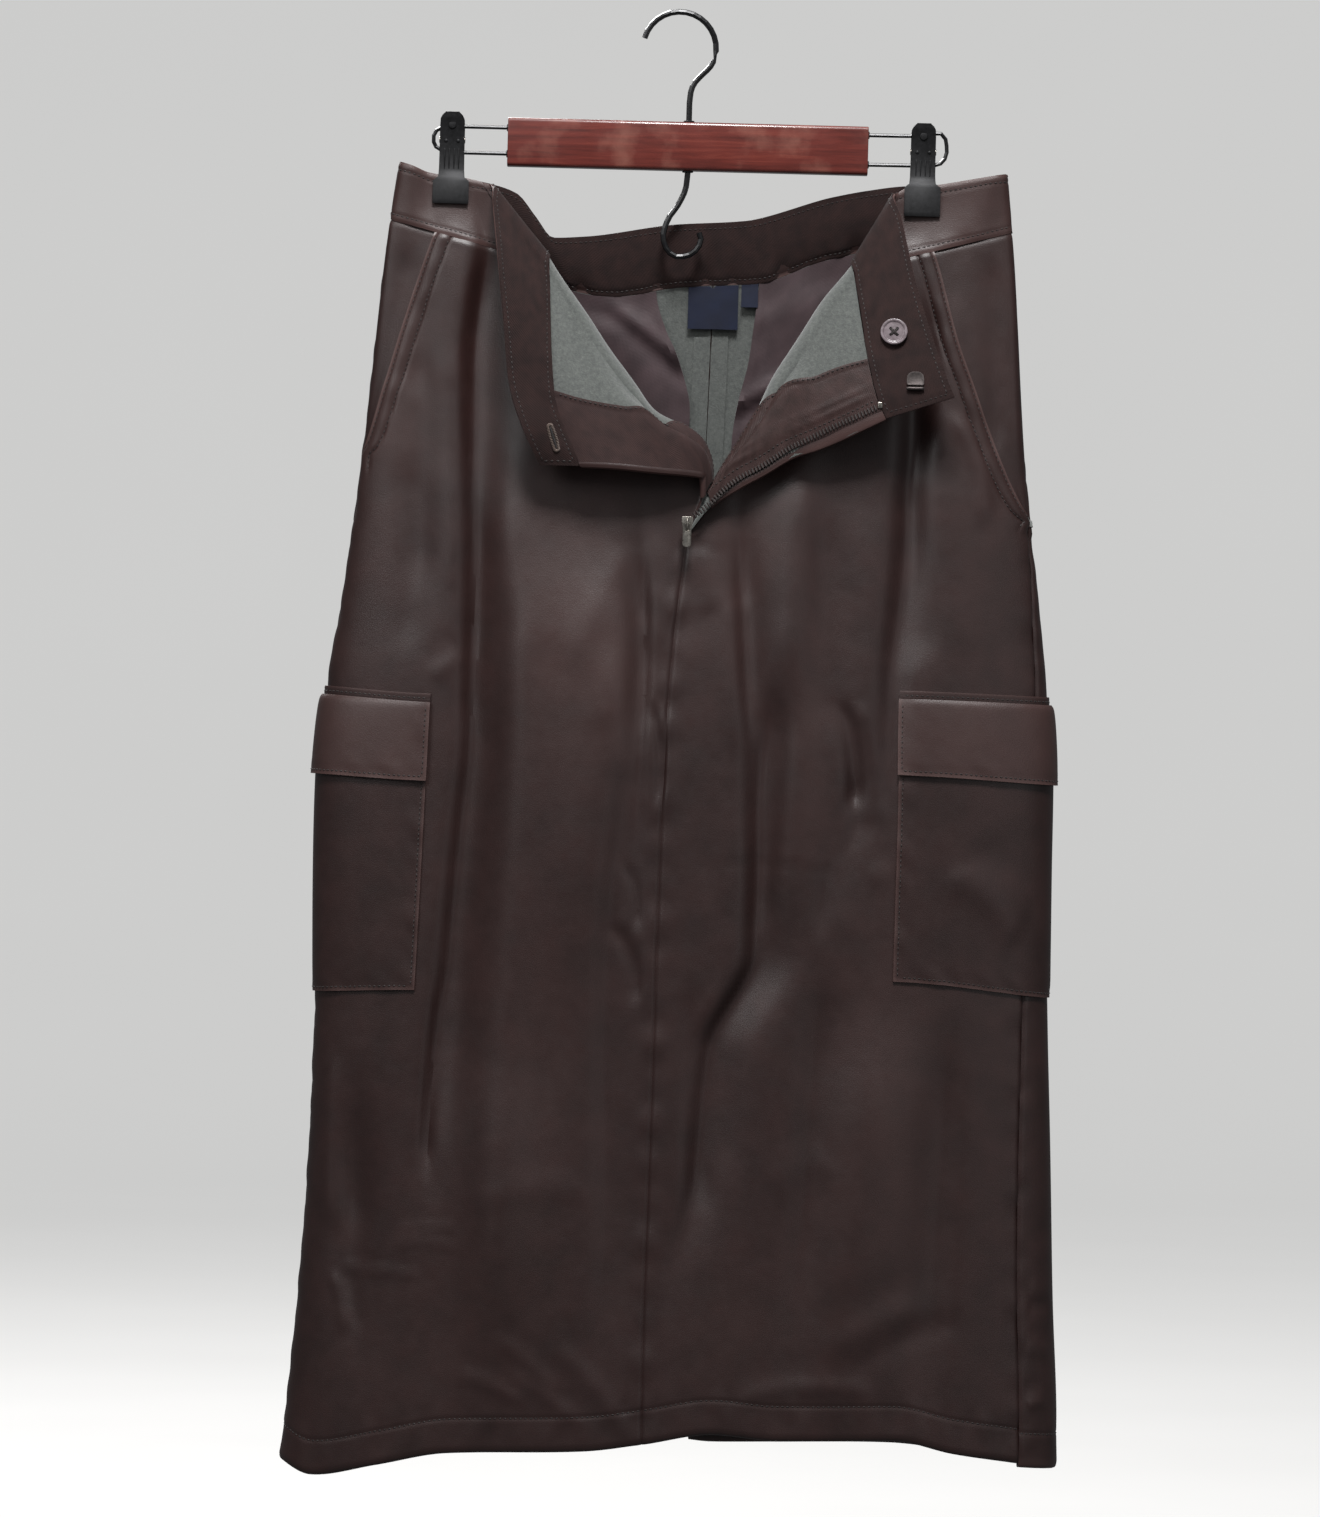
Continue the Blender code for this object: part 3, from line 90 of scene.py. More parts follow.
turned = {                                # the corners turned outwards: rolled fold, facing, teeth, own edge
    "left": {
        "v":          (0, 0.125, 0.25, 0.375, 0.5, 0.625, 0.75, 0.875, 1.0),
        "foldX":      (-81.9, -55.4, -38, -24, -9, 9, 22, 27, 12.2),
        "foldZ":      (-163.5, -201.8, -227, -245, -262.5, -272, -283, -304, -344),
        "roll":       (8, 9, 9, 9, 8.5, 7.5, 6, 4, 0),
        "coverX":     (-75.5, -58, -37, -21, -6, 11, 22.5, 27, 12.2),
        "coverZ":     (-252, -257, -260.5, -263, -273, -281, -290, -307, -344),
        "coverStand": (36, 32, 28, 25, 21, 17, 13.5, 8.6, 0),
        "edgeX":      (-57, -40, -23, -8.8, 3, 13, 21, 22, 12.2),
        "edgeZ":      (-300.5, -301, -302, -303, -303.5, -304, -305, -317, -344),
        "edgeStand":  (41, 38, 34, 29, 24, 19.5, 15, 9, 0),
    },
    "right": {
        "v":          (0, 0.125, 0.25, 0.375, 0.5, 0.625, 0.75, 0.875, 1.0),
        "foldX":      (116.6, 99.5, 88, 77, 67.5, 53, 40, 27, 12.8),
        "foldZ":      (-163.2, -184.6, -204, -222, -238, -268, -291, -314, -344),
        "roll":       (8, 9, 9, 8.5, 8, 7, 5.5, 3.5, 0),
        "coverX":     (127.7, 114, 101, 87, 73, 56.5, 42, 28, 12.8),
        "coverZ":     (-226, -230, -235, -242, -252, -275, -295, -316, -344),
        "coverStand": (31, 28, 25, 23, 20, 16.5, 13, 8, 0),
        "teethX":     (135, 121, 107, 92.5, 77, 59.5, 44, 28.5, 12.8),
        "teethZ":     (-254, -261, -267.5, -275, -283, -295, -304, -319, -344),
        "teethStand": (37, 34, 30.5, 27, 23, 19, 14.5, 8.8, 0),
        "edgeX":      (140, 126, 112, 97, 82, 62.5, 46, 29, 12.8),
        "edgeZ":      (-264.5, -271.5, -278.5, -285, -290, -302, -311.5, -323.5, -344),
        "edgeStand":  (38, 35, 31, 27.5, 23.5, 19.5, 15, 9, 0),
    },
}
bandTop = {                               # upper edge of each front waistband
    "left": {
        "u": (-1, -0.8, -0.5, 0, 1, 2, 2.25, 2.5, 2.75, 3, 3.33, 3.66, 4, 4.5, 5),
        "x": (-181.8, -180.6, -174, -162, -136, -127, -122, -120.2, -120, -119.5,
              -115.4, -110, -105.5, -95.5, -83.5),
        "y": (0, -4.4, -6.8, -3.1, -2.9, -3.2, -4.8, -8.5, -12, -15, -31, -41, -46, -51, -47),
        "z": (-101.5, -102, -104, -108.4, -111.8, -114, -115.6, -118.5, -123, -129,
              -162, -206, -246, -277, -300),
    },
    "right": {
        "u": (-1, -0.8, -0.5, 0, 1, 2, 2.25, 2.5, 2.75, 3, 3.5, 4, 4.5, 5, 6),
        "x": (217.2, 216, 209, 176.5, 149.5, 146.5, 144.3, 143.2, 144, 146.5,
              157, 167.5, 175, 181, 184.5),
        "y": (0, -4.4, -6.8, -3.1, -2.9, -3.2, -4.8, -8.5, -12, -15, -30, -39, -44, -47, -48),
        "z": (-99.6, -99.8, -101, -107, -111.3, -113.4, -114.8, -117.5, -121.5, -127,
              -171, -205, -226, -242, -249.5),
    },
}
backBand = {                              # the back waistband, from left to right
    "seamX": (-187.2, -184, -172, -158, -138, -112, -92, -78, -62, -40, 6, 56, 97, 122,
              152, 176, 206, 218, 221.4),
    "seamY": (0, 4.3, 6.6, 7.7, 9, 12, 14.5, 16, 17, 18, 19.5, 18.5, 15, 12.5, 9, 7.9, 6.8, 4.3, 0),
    "seamZ": (-139.5, -140, -142.5, -146, -150.5, -157, -164.5, -173, -183, -185, -177.5,
              -174, -158.5, -152.5, -148.5, -145.5, -140.5, -138, -137.5),
    "topX":  (-181.8, -179, -171, -162, -135, -119, -105, -93, -80, -58, 0, 46, 103, 128,
              148, 177, 206, 214, 217.2),
    "topY":  (0, 4.2, 6, 3.1, 2.9, 4, 6.5, 9, 10.5, 12, 14, 13, 7.5, 4, 2.9, 3.1, 6, 4.2, 0),
    "topZ":  (-101.5, -102, -104.5, -108.5, -111.8, -115, -120, -134, -148, -146.5, -137,
              -133.5, -117, -112, -109, -107, -102, -100, -99.6),
}
cloth = {"leather": 1.4, "twill": 1.0, "gap": 0.35, "sideCrowding": 1.6, "pinch": 2.4}
leather = cloth["leather"]
twillLook = ("twill", "twill", cloth["twill"])
under = cloth["leather"] / 2 + cloth["gap"] + cloth["twill"] / 2
onTop = cloth["leather"] + cloth["gap"]

# folds that the whole cloth takes, as lines down it: x, z, reach, lean, height, start, end;
# height below 0 is a trough, lean above 0 a steeper left side
frontFolds = [
    ((160, 158, 150), (-200, -330, -430), 10, 0.1, -7.5, -165, -560),
    ((86, 83, 78), (-270, -400, -520), 15, 0, 6.5, -250, -640),
    ((48, 53, 60), (-320, -400, -480), 9, 0.2, -6.5, -290, -600),
    ((-18, -14, -16), (-330, -420, -520), 8, -0.3, -6, -310, -600),
    ((-102, -92, -98, -104), (-330, -500, -700, -880), 18, 0, 6, -260, -960),
    ((-24, -30, -26), (-520, -640, -780), 14, 0.3, -5, -470, -930),
    ((108, 104, 96), (-640, -760, -880), 14, 0.2, -5.5, -600, -965),
    ((190, 188, 184), (-640, -780, -900), 14, -0.2, -5, -640, -965),
    ((-119, -128, -124, -122, -128, -136, -146), (-140, -230, -362, -470, -550, -665, -760),
     14, 0.4, -10.5, -108, -820),
    ((82, 67, 66, 38, 32, 17), (-385, -525, -613, -677, -759, -820), 14, 0.42, -10, -400, -870),
    ((118, 127, 129, 122, 110), (-450, -504, -519, -549, -618), 9, 0.35, -8, -440, -620),
    ((-194, -193, -187), (-725, -840, -890), 13, 0.2, -7, -690, -920),
    ((-60, -45, -55), (-330, -470, -620), 34, 0, 6, -330, -700),
    ((150, 135, 120), (-640, -780, -930), 30, 0, 6, -640, -965),
    ((-95, -90, -85), (-700, -820, -940), 28, 0, 5, -680, -965),
]
backFolds = [
    ((-90, -98, -110), (-330, -560, -800), 15, 0.3, -9, -320, -860),
    ((110, 98, 92), (-360, -600, -850), 16, -0.3, -8, -330, -900),
    ((-20, -30, -34), (-560, -750, -930), 26, 0, 5, -560, -965),
]
foldFade = (90, 170)                      # mm over which a fold begins and ends
# smaller creases: from (x0, z0) to (x1, z1), bowed sideways, height below 0 is a trough
frontCreases = {
    "x0":     (-166, -122, -140, -176, -172, -98, -30, -6, -14, -30, -29, 77, 118, 129, 132, 137, 152, 168, 207,
               187, -163, -165, -198, -120, -98, -121, -60, -95, 60, 134, 118, 80, -205, 249, 249, 250, 30, 25,
               -150, 20, -20, -45, 100, 45, 190, -210),
    "z0":     (-230, -330, -640, -160, -300, -300, -386, -455, -600, -330, -598, -449, -451, -500, -519, -560,
               -300, -185, -157, -260, -800, -808, -826, -782, -868, -893, -872, -888, -905, -884, -872, -765,
               -830, -840, -868, -905, -556, -640, -440, -352, -352, -420, -330, -380, -560, -690),
    "x1":     (-160, -128, -146, -166, -168, -110, -40, -2, -20, -6, -13, 64, 127, 106, 148, 150, 169, 161, 214,
               207, -124, -123, -150, -40, -58, -81, -10, -40, 150, 205, 178, 120, -196, 262, 263, 262, 118, 33,
               -128, 30, -60, -20, 112, 55, 235, -205),
    "z1":     (-380, -470, -760, -250, -420, -420, -470, -520, -560, -420, -648, -600, -515, -600, -522, -563,
               -420, -300, -281, -330, -799, -809, -828, -770, -902, -910, -930, -925, -898, -850, -840, -750,
               -868, -842, -871, -902, -560, -777, -425, -392, -430, -500, -470, -480, -600, -800),
    "bow":    (3, 2, -2, 4, 5, 6, 7, 3, -3, 8, 6, 4, 4, -6, 1, 1, 4, 3, 3, 6, 1, 1, 0, 5, 2, 3, 4, 3, 6, 4, 3, 5,
               1, 1, 1, 1, 2, -4, 2, 3, -4, 9, 5, -4, 8, -3),
    "reach":  (12, 7, 4, 10, 12, 15, 12, 3.4, 3, 12, 5, 8, 5, 6, 8, 7, 13, 8, 8, 7, 3, 3, 2.5, 9, 5, 5, 6, 5, 7, 8,
               8, 12, 4, 5, 5, 5, 2.4, 8, 6, 9, 11, 16, 13, 12, 12, 8),
    "height": (-2.2, -1.5, -2.5, -1.5, -1.7, -1.8, 1.2, -1.8, -1.5, 1.3, -1.8, -2.2, -2.4, -2, 0.9, 0.7, -2.4,
               -1.6, -2.4, 2, 0.5, 0.5, 0.7, 0.6, 0.8, 0.8, 0.8, 0.6, 0.8, -1, 0.8, 0.6, 1.4, -1.6, 1.2, 1.3, -0.3,
               -2, 0.7, 1.2, 1, 0.9, -1.8, 1.5, 1.8, 2),
}
backCreases = {
    "x0":     (-150, -60, 60, 150, 26, 190, -190, -40, 120, -150, 80, -10, 205, -200, 40, -120, 160, 0),
    "z0":     (-250, -260, -230, -260, -330, -420, -430, -600, -640, -700, -760, -860, -700, -760, -905, -880,
               -870, -430),
    "x1":     (-135, -75, 80, 140, 60, 205, -205, -60, 100, -110, 130, -60, 212, -206, 100, -70, 215, 12),
    "z1":     (-430, -420, -420, -430, -520, -560, -600, -780, -820, -715, -752, -885, -860, -900, -890, -900,
               -850, -640),
    "bow":    (5, -6, 7, -5, 10, 4, -4, 6, -6, 3, 4, 4, 3, -3, 4, 4, 5, -4),
    "reach":  (9, 8, 9, 10, 11, 8, 8, 9, 9, 4, 5, 5, 7, 7, 5, 5, 6, 10),
    "height": (-2.6, 2.2, -2.4, 2.2, 1.8, -2.2, -2, -2.4, -2.2, 1.2, 1.1, 1.3, -1.8, 1.8, 1.2, 1.1, 1.3, -2.4),
}


def smoothCurve(keys, values, at):        # a value from a table, on a curve that never overshoots its rows
    keys = np.asarray(keys, float)
    values = np.asarray(values, float)
    if keys[0] > keys[-1]:
        keys = keys[::-1]
        values = values[::-1]
    at = np.clip(np.asarray(at, float), keys[0], keys[-1])
    widths = np.diff(keys)
    slopes = np.diff(values) / widths
    tangents = np.zeros(len(keys))
    tangents[0] = slopes[0]
    tangents[-1] = slopes[-1]
    for i in range(1, len(keys) - 1):
        if slopes[i - 1] * slopes[i] > 0:
            first = 2 * widths[i] + widths[i - 1]
            second = widths[i] + 2 * widths[i - 1]
            tangents[i] = (first + second) / (first / slopes[i - 1] + second / slopes[i])
    i = np.clip(np.searchsorted(keys, at) - 1, 0, len(widths) - 1)
    t = (at - keys[i]) / widths[i]
    ease = t * t * (3 - 2 * t)
    startPull = t * (1 - t) ** 2 * widths[i] * tangents[i]
    endPull = t * t * (t - 1) * widths[i] * tangents[i + 1]
    return values[i] * (1 - ease) + values[i + 1] * ease + startPull + endPull


def tableAt(table, column, at):           # a column's value where the table's first column reads at
    return smoothCurve(next(iter(table.values())), table[column], at)


def pathLengths(points):                  # how far each point of a line lies from its first one
    return np.concatenate([[0], np.cumsum(np.linalg.norm(np.diff(points, axis=0), axis=1))])


def readAlong(line, along, at):           # what the columns of a line come to, at distances along it
    return np.stack([np.interp(at, along, column) for column in line.T], axis=-1)


def unit(ways):                           # the same directions, each of length 1
    return ways / np.maximum(np.linalg.norm(ways, axis=-1, keepdims=True), 1e-6)


def mix(a, b, t):
    return a + (b - a) * t


def easeIn(t):                            # 0 to 1, flat at both ends
    t = np.clip(t, 0, 1)
    return t * t * (3 - 2 * t)


tubeStep = 2.5
tubeHeights = np.arange(-980.0, -90.0, tubeStep)
tubeShares = np.linspace(0, 1, 1441)


def layTube():                            # the tube's x and y by height and share of the way round
    angles = np.linspace(0, 2 * math.pi, 2881)
    xs = []
    ys = []
    for z in tubeHeights:
        left, right, front, back, power = (tableAt(sections, key, z)
                                           for key in list(sections)[1:])
        cosine = np.cos(angles)
        sine = np.sin(angles)
        x = (left + right) / 2 - (right - left) / 2 * np.sign(cosine) * np.abs(cosine) ** (2 / power)
        y = -np.where(sine >= 0, front, back) * np.sign(sine) * np.abs(sine) ** (2 / power)
        along = pathLengths(np.stack([x, y], axis=1))
        xs.append(np.interp(tubeShares * along[-1], along, x))
        ys.append(np.interp(tubeShares * along[-1], along, y))
    return np.array(xs), np.array(ys)


tubeX, tubeY = layTube()


def tubePoint(z, share):                  # x and y on the flattened tube
    z, share = np.broadcast_arrays(np.asarray(z, float), np.asarray(share, float) % 1.0)
    row = np.clip((z - tubeHeights[0]) / tubeStep, 0, len(tubeHeights) - 1.001)
    column = share * (len(tubeShares) - 1)
    r = row.astype(int)
    c = np.minimum(column.astype(int), len(tubeShares) - 2)
    fr = row - r
    fc = column - c
    places = []
    for table in (tubeX, tubeY):
        upper = mix(table[r, c], table[r, c + 1], fc)
        lower = mix(table[r + 1, c], table[r + 1, c + 1], fc)
        places.append(mix(upper, lower, fr))
    return places


def shareAt(z, x, wall):                  # where on the section at z a wall passes x
    xs, _ = tubePoint(z, tubeShares * 0.999999)
    half = len(xs) // 2
    if wall == "front":
        return float(np.interp(x, xs[:half + 1], tubeShares[:half + 1]))
    return float(np.interp(-x, -xs[half:], tubeShares[half:]))


def levelHeight(v, x, wall):              # how high the level v lies at x
    stations = [tableAt(levels, key, min(v, 3.0))
                for key in list(levels)[1:]]
    height = smoothCurve(levelPlaces, stations, x)
    if v > 3:
        height = mix(height, smoothCurve(hemLine["x"], hemLine[wall], x), v - 3)
    return height


def sideHeight(v, side):                  # how high the level v lies at a side seam
    x = levelPlaces[0] if side == "left" else levelPlaces[-1]
    if v >= 1:
        return levelHeight(v, x, "front")
    return mix(waistSide[side], levelHeight(1, x, "front"), v)


def sideShare(z, side):                   # how far round the section a side seam lies
    if side == "left":
        return 0.0
    inset = tableAt(rightSeam, "inset", z)
    return shareAt(z, tableAt(sections, "right", z) - inset, "front")


def foldHeight(folds, x, z):
    total = np.zeros_like(x)
    for foldX, foldZ, reach, lean, height, start, end in folds:
        centre = smoothCurve(foldZ, foldX, z)
        fade = np.clip((start - z) / foldFade[0], 0, 1) * np.clip((z - end) / foldFade[1], 0, 1)
        reach = reach * np.where(x < centre, 1 - lean, 1 + lean)
        total += height * easeIn(fade) * np.exp(-((x - centre) / reach) ** 2)
    return total


def creaseHeight(creases, x, z):          # a crease has a soft trough beside its ridge, as coated cloth does
    total = np.zeros_like(x)
    for x0, z0, x1, z1, bow, reach, height in zip(*creases.values()):
        length = math.hypot(x1 - x0, z1 - z0)
        alongX = (x1 - x0) / length
        alongZ = (z1 - z0) / length
        along = ((x - x0) * alongX + (z - z0) * alongZ) / length
        aside = -(x - x0) * alongZ + (z - z0) * alongX
        t = np.clip(along, 0, 1)
        aside = aside - bow * 4 * t * (1 - t)
        fade = easeIn(along / 0.25 + 0.35) * easeIn((1 - along) / 0.25 + 0.35)
        shape = np.exp(-(aside / reach) ** 2) - 0.45 * np.exp(-((aside - 1.9 * reach) / (1.5 * reach)) ** 2)
        total += height * fade * shape
    return total


def outNormals(grid):                     # a grid's normals; where rows meet in a point, those of the row above
    down = np.gradient(grid, axis=0)
    across = np.gradient(grid, axis=1)
    normals = np.cross(down, across)
    sizes = np.linalg.norm(normals, axis=2, keepdims=True)
    weak = sizes[:, :, 0] < 1e-5
    normals = normals / np.maximum(sizes, 1e-5)
    for r in range(1, len(grid)):
        normals[r][weak[r]] = normals[r - 1][weak[r]]
    return normals


def lengthsFrom(grid, edge):              # each place's distance in mm from one edge, over the cloth
    if edge in ("top", "bottom"):
        steps = np.linalg.norm(np.diff(grid, axis=0), axis=2)
        along = np.concatenate([np.zeros((1, grid.shape[1])), np.cumsum(steps, axis=0)])
        return along if edge == "top" else along[-1:] - along
    steps = np.linalg.norm(np.diff(grid, axis=1), axis=2)
    along = np.concatenate([np.zeros((grid.shape[0], 1)), np.cumsum(steps, axis=1)], axis=1)
    return along if edge == "first" else along[:, -1:] - along


def stretches(*parts):                    # places from (start, end, steps, crowding at the start) parts
    places = []
    for start, end, steps, crowding in parts:
        shares = np.arange(steps) / steps
        if crowding < 0:
            shares = 1 - (1 - shares) ** -crowding
        else:
            shares = shares ** crowding
        places += list(mix(start, end, shares))
    places.append(parts[-1][1])
    return np.array(places)


upperV = stretches((0, 0.06, 10, 1.3), (0.06, 1, 54, 1))
lowerV = stretches((1, 2, 36, 1), (2, 2.1, 4, 1), (2.1, 3, 54, 1), (3, 3.86, 64, 1), (3.86, 4, 34, 1))
allV = np.concatenate([upperV[:-1], lowerV])
zipRow = len(upperV) - 1                  # row at the end of the zip


def frontMain(side, places):              # rows of a front from its side (u -1) to its roll or middle seam (u 2)
    rows = []
    slant = slants[side]
    sign = -1 if side == "left" else 1
    for v in allV:
        zSide = sideHeight(v, side)
        if v < 1:
            corner = turned[side]
            innerX = tableAt(corner, "foldX", v)
            innerZ = tableAt(corner, "foldZ", v)
            innerX += sign * 1.2 * tableAt(corner, "roll", v)
            zSection = (zSide + innerZ) / 2
        else:
            zSection = levelHeight(v, 0, "front")
            innerX = tableAt(middleSeam, "x", zSection) + sign * 0.12
        start = sideShare(zSection, side)
        guide = shareAt(zSection, tableAt(guides, side, v), "front")
        inner = shareAt(zSection, innerX, "front")
        mouth = start
        if zSide > slant["z"][-1]:
            mouth = shareAt(zSection, tableAt(slant, "x", zSide - 6), "front")
        share = np.where(places < 0, mix(start, mouth, places + 1),
                         np.where(places < 1, mix(mouth, guide, np.clip(places, 0, 1) ** cloth["sideCrowding"]),
                                  mix(guide, inner, np.clip(places - 1, 0, 1))))
        if v < 1:
            z = mix(zSide, innerZ, (share - start) / (inner - start))
        else:
            x, _ = tubePoint(zSection, share)
            z = levelHeight(v, x, "front")
        x, y = tubePoint(z, share)
        rows.append(np.stack([x, y, z], axis=1))
    return np.array(rows)


def creased(grid):                        # the folds and creases, pushed straight out of the walls
    grid = grid.copy()
    x = grid[:, :, 0]
    y = grid[:, :, 1]
    z = grid[:, :, 2]
    front = foldHeight(frontFolds, x, z) + creaseHeight(frontCreases, x, z)
    back = foldHeight(backFolds, x, z) + creaseHeight(backCreases, x, z)
    grid[:, :, 1] = y - front * easeIn(-y / 9) + back * easeIn(y / 9)
    return grid


def frontTurned(side, main, places):      # from the roll (u 2) over the knit side to the front's own edge
    corner = turned[side]
    keys = ["cover", "edge"] if side == "left" else ["cover", "teeth", "edge"]
    rows = []
    for r in range(zipRow + 1):
        v = upperV[r]
        last = main[r, -1]
        if v >= 1:
            rows.append(np.repeat(last[None, :], len(places), axis=0))
            continue
        value = {key: tableAt(corner, key, v) for key in corner if key != "v"}
        fold = np.array([value["foldX"], 0, value["foldZ"]])
        stops = [np.array([value[key + "X"], last[1] - value[key + "Stand"], value[key + "Z"]]) for key in keys]
        incoming = fold - last
        incoming[1] = 0
        outgoing = stops[0] - fold
        outgoing[1] = 0
        outgoing = unit(outgoing)
        angle = math.pi * np.clip(places - 2, 0, 1)
        reach = (1 - np.sin(angle))[:, None]
        inFront = (angle > math.pi / 2)[:, None]
        points = fold + np.where(inFront, outgoing * reach * 1.2 * value["roll"], -incoming * reach)
        points[:, 1] = last[1] - value["roll"] * (1 - np.cos(angle))
        rollEnd = fold + outgoing * 1.2 * value["roll"]
        rollEnd[1] = last[1] - 2 * value["roll"]
        knots = np.array([rollEnd] + stops)
        lengths = pathLengths(knots)
        onward = places > 3
        at = np.interp(places[onward], np.arange(3, 3 + len(lengths)), lengths)
        for axis in range(3):
            points[onward, axis] = smoothCurve(lengths, knots[:, axis], at)
        rows.append(points)
    return np.array(rows)


def backAt(column, share):                # the back waistband's table, by share of the waist section
    shares = [shareAt(waistZ, x, "back") for x in backBand["seamX"]]
    return smoothCurve(shares, backBand[column], share)


def backShares(places, zSection, v):      # how far round the section each column of the back lies
    middle = [shareAt(zSection, x, "back") for x in (
        tableAt(guides, "backRight", v), tableAt(backSeam, "x", zSection), tableAt(guides, "backLeft", v))]
    stops = np.array([sideShare(zSection, "right")] + middle + [1.0])
    i = np.minimum(places.astype(int), 3)
    t = places - i
    crowding = cloth["sideCrowding"]
    bent = np.where(i == 0, t ** crowding, np.where(i == 3, 1 - (1 - t) ** crowding, t))
    return mix(stops[i], stops[i + 1], bent)


def backWall(places):                     # the whole back, from the right side seam (0) round to the left (4)
    rows = []
    for v in allV:
        zSection = mix(waistZ, levelHeight(1, 0, "back"), v) if v < 1 else levelHeight(v, 0, "back")
        share = backShares(places, zSection, v)
        x, y = tubePoint(zSection, share * 0.9999999)
        if v >= 1:
            z = levelHeight(v, x, "back")
            x, y = tubePoint(z, share * 0.9999999)
            point = np.stack([x, y, z], axis=1)
        else:
            z = mix(backAt("seamZ", share), levelHeight(1, x, "back"), v)
            _, waistY = tubePoint(waistZ, share * 0.9999999)
            bow = (backAt("seamY", share) - waistY) * (1 - v) ** 2
            point = np.stack([x, y + np.where(y >= -0.5, bow, 0), z], axis=1)
        rows.append(point)
    return np.array(rows)


def linearColour(text):                   # sRGB hex to the linear values that a socket holds
    channels = [int(text[i:i + 2], 16) / 255 for i in (1, 3, 5)]
    return tuple(c / 12.92 if c <= 0.04045 else ((c + 0.055) / 1.055) ** 2.4 for c in channels) + (1.0,)


def addNode(tree, kind, settings=None, links=None):
    node = tree.nodes.new("ShaderNode" + kind)
    for key, value in (settings or {}).items():
        if isinstance(key, str) and hasattr(node, key):
            setattr(node, key, value)
        else:
            node.inputs[key].default_value = value
    for key, socket in (links or {}).items():
        tree.links.new(socket, node.inputs[key])
    return node


def newMaterial(name, settings, uvMap=None):   # a material, its tree and shader, and where its pattern is read
    material = bpy.data.materials.new(name)
    material.use_nodes = True
    shader = material.node_tree.nodes["Principled BSDF"]
    for key, value in settings.items():
        shader.inputs[key].default_value = value
    tree = material.node_tree
    if uvMap:
        place = addNode(tree, "UVMap", {"uv_map": uvMap}).outputs["UV"]
    else:
        place = addNode(tree, "TexCoord").outputs["Object"]
    return material, tree, shader, place


def colourRamp(tree, factor, stops, into=None):   # stops: (place, hex)
    ramp = addNode(tree, "ValToRGB", links={"Fac": factor})
    elements = ramp.color_ramp.elements
    for i, (place, text) in enumerate(stops):
        element = elements[i] if i < 2 else elements.new(place)
        element.position = place
        element.color = linearColour(text)
    if into:
        tree.links.new(ramp.outputs["Color"], into.inputs["Base Color"])
    return ramp.outputs["Color"]


def perMm(size):                          # a texture scale that repeats every size mm of a metre
    return 1 / (size * mm)


def shapedBump(tree, shader, height, strength, distance, below=None):
    links = {"Height": height}
    if below is not None:
        links["Normal"] = below
    bump = addNode(tree, "Bump", {"Strength": strength, "Distance": distance * mm}, links)
    tree.links.new(bump.outputs["Normal"], shader.inputs["Normal"])
    return bump.outputs["Normal"]


fauxLeather = {"deep": "#221210", "mid": "#2e1b19", "paledAndLit": "#553e3b", "grain": 1.3, "mottle": 26,
               "roughness": (0.38, 0.52), "bump": 0.28}


def makeFauxLeather(name, tone=fauxLeather):
    # polyurethane-coated cloth, embossed with a fine calf grain: broad soft highlights, paler where it rubs and where
    # painted highlights are laid on
    material, tree, shader, place = newMaterial(name, {
        "Specular IOR Level": 0.5, "Coat Weight": 0.05, "Coat Roughness": 0.4})
    mottle = addNode(tree, "TexNoise", {"Scale": perMm(tone["mottle"]), "Detail": 4.0,
                                                  "Roughness": 0.55}, {"Vector": place}).outputs["Fac"]
    pores = addNode(tree, "TexNoise", {"Scale": perMm(0.8), "Detail": 2.0}, {"Vector": place}).outputs["Fac"]
    cells = addNode(tree, "TexVoronoi", {"feature": "DISTANCE_TO_EDGE", "Scale": perMm(tone["grain"]),
                                                   "Randomness": 0.9}, {"Vector": place}).outputs["Distance"]
    shallow = addNode(tree, "Math", {"operation": "MINIMUM", 1: 0.22}, {0: cells})
    base = colourRamp(tree, mottle, [(0.28, tone["deep"]), (0.74, tone["mid"])])
    # paler by a per-point share: real edge wear, plus painted highlights laid on flaps, front waistbands and broad
    # patches of the front
    wearAndSheen = addNode(tree, "Attribute", {"attribute_name": "wearAndSheen"}).outputs["Fac"]
    wornAndLit = addNode(tree, "Math", {"operation": "MULTIPLY", "use_clamp": True, 1: 0.75}, {0: wearAndSheen})
    mixed = addNode(tree, "Mix", {"data_type": "RGBA", 7: linearColour(tone["paledAndLit"])},
                    {0: wornAndLit.outputs[0], 6: base})
    tree.links.new(mixed.outputs[2], shader.inputs["Base Color"])
    uneven = addNode(tree, "TexNoise", {"Scale": perMm(9), "Detail": 3.0}, {"Vector": place}).outputs["Fac"]
    rough = addNode(tree, "MapRange", {"To Min": tone["roughness"][0], "To Max": tone["roughness"][1]},
                    {"Value": uneven})
    tree.links.new(rough.outputs["Result"], shader.inputs["Roughness"])
    wavy = shapedBump(tree, shader, mottle, 0.25, 1.1)
    soft = shapedBump(tree, shader, pores, 0.12, 0.25, wavy)
    shapedBump(tree, shader, shallow.outputs[0], tone["bump"], 0.5, soft)
    return material


knitBacking = {"dark": "#404241", "light": "#555855", "fleck": "#696b67", "loop": 1.2}


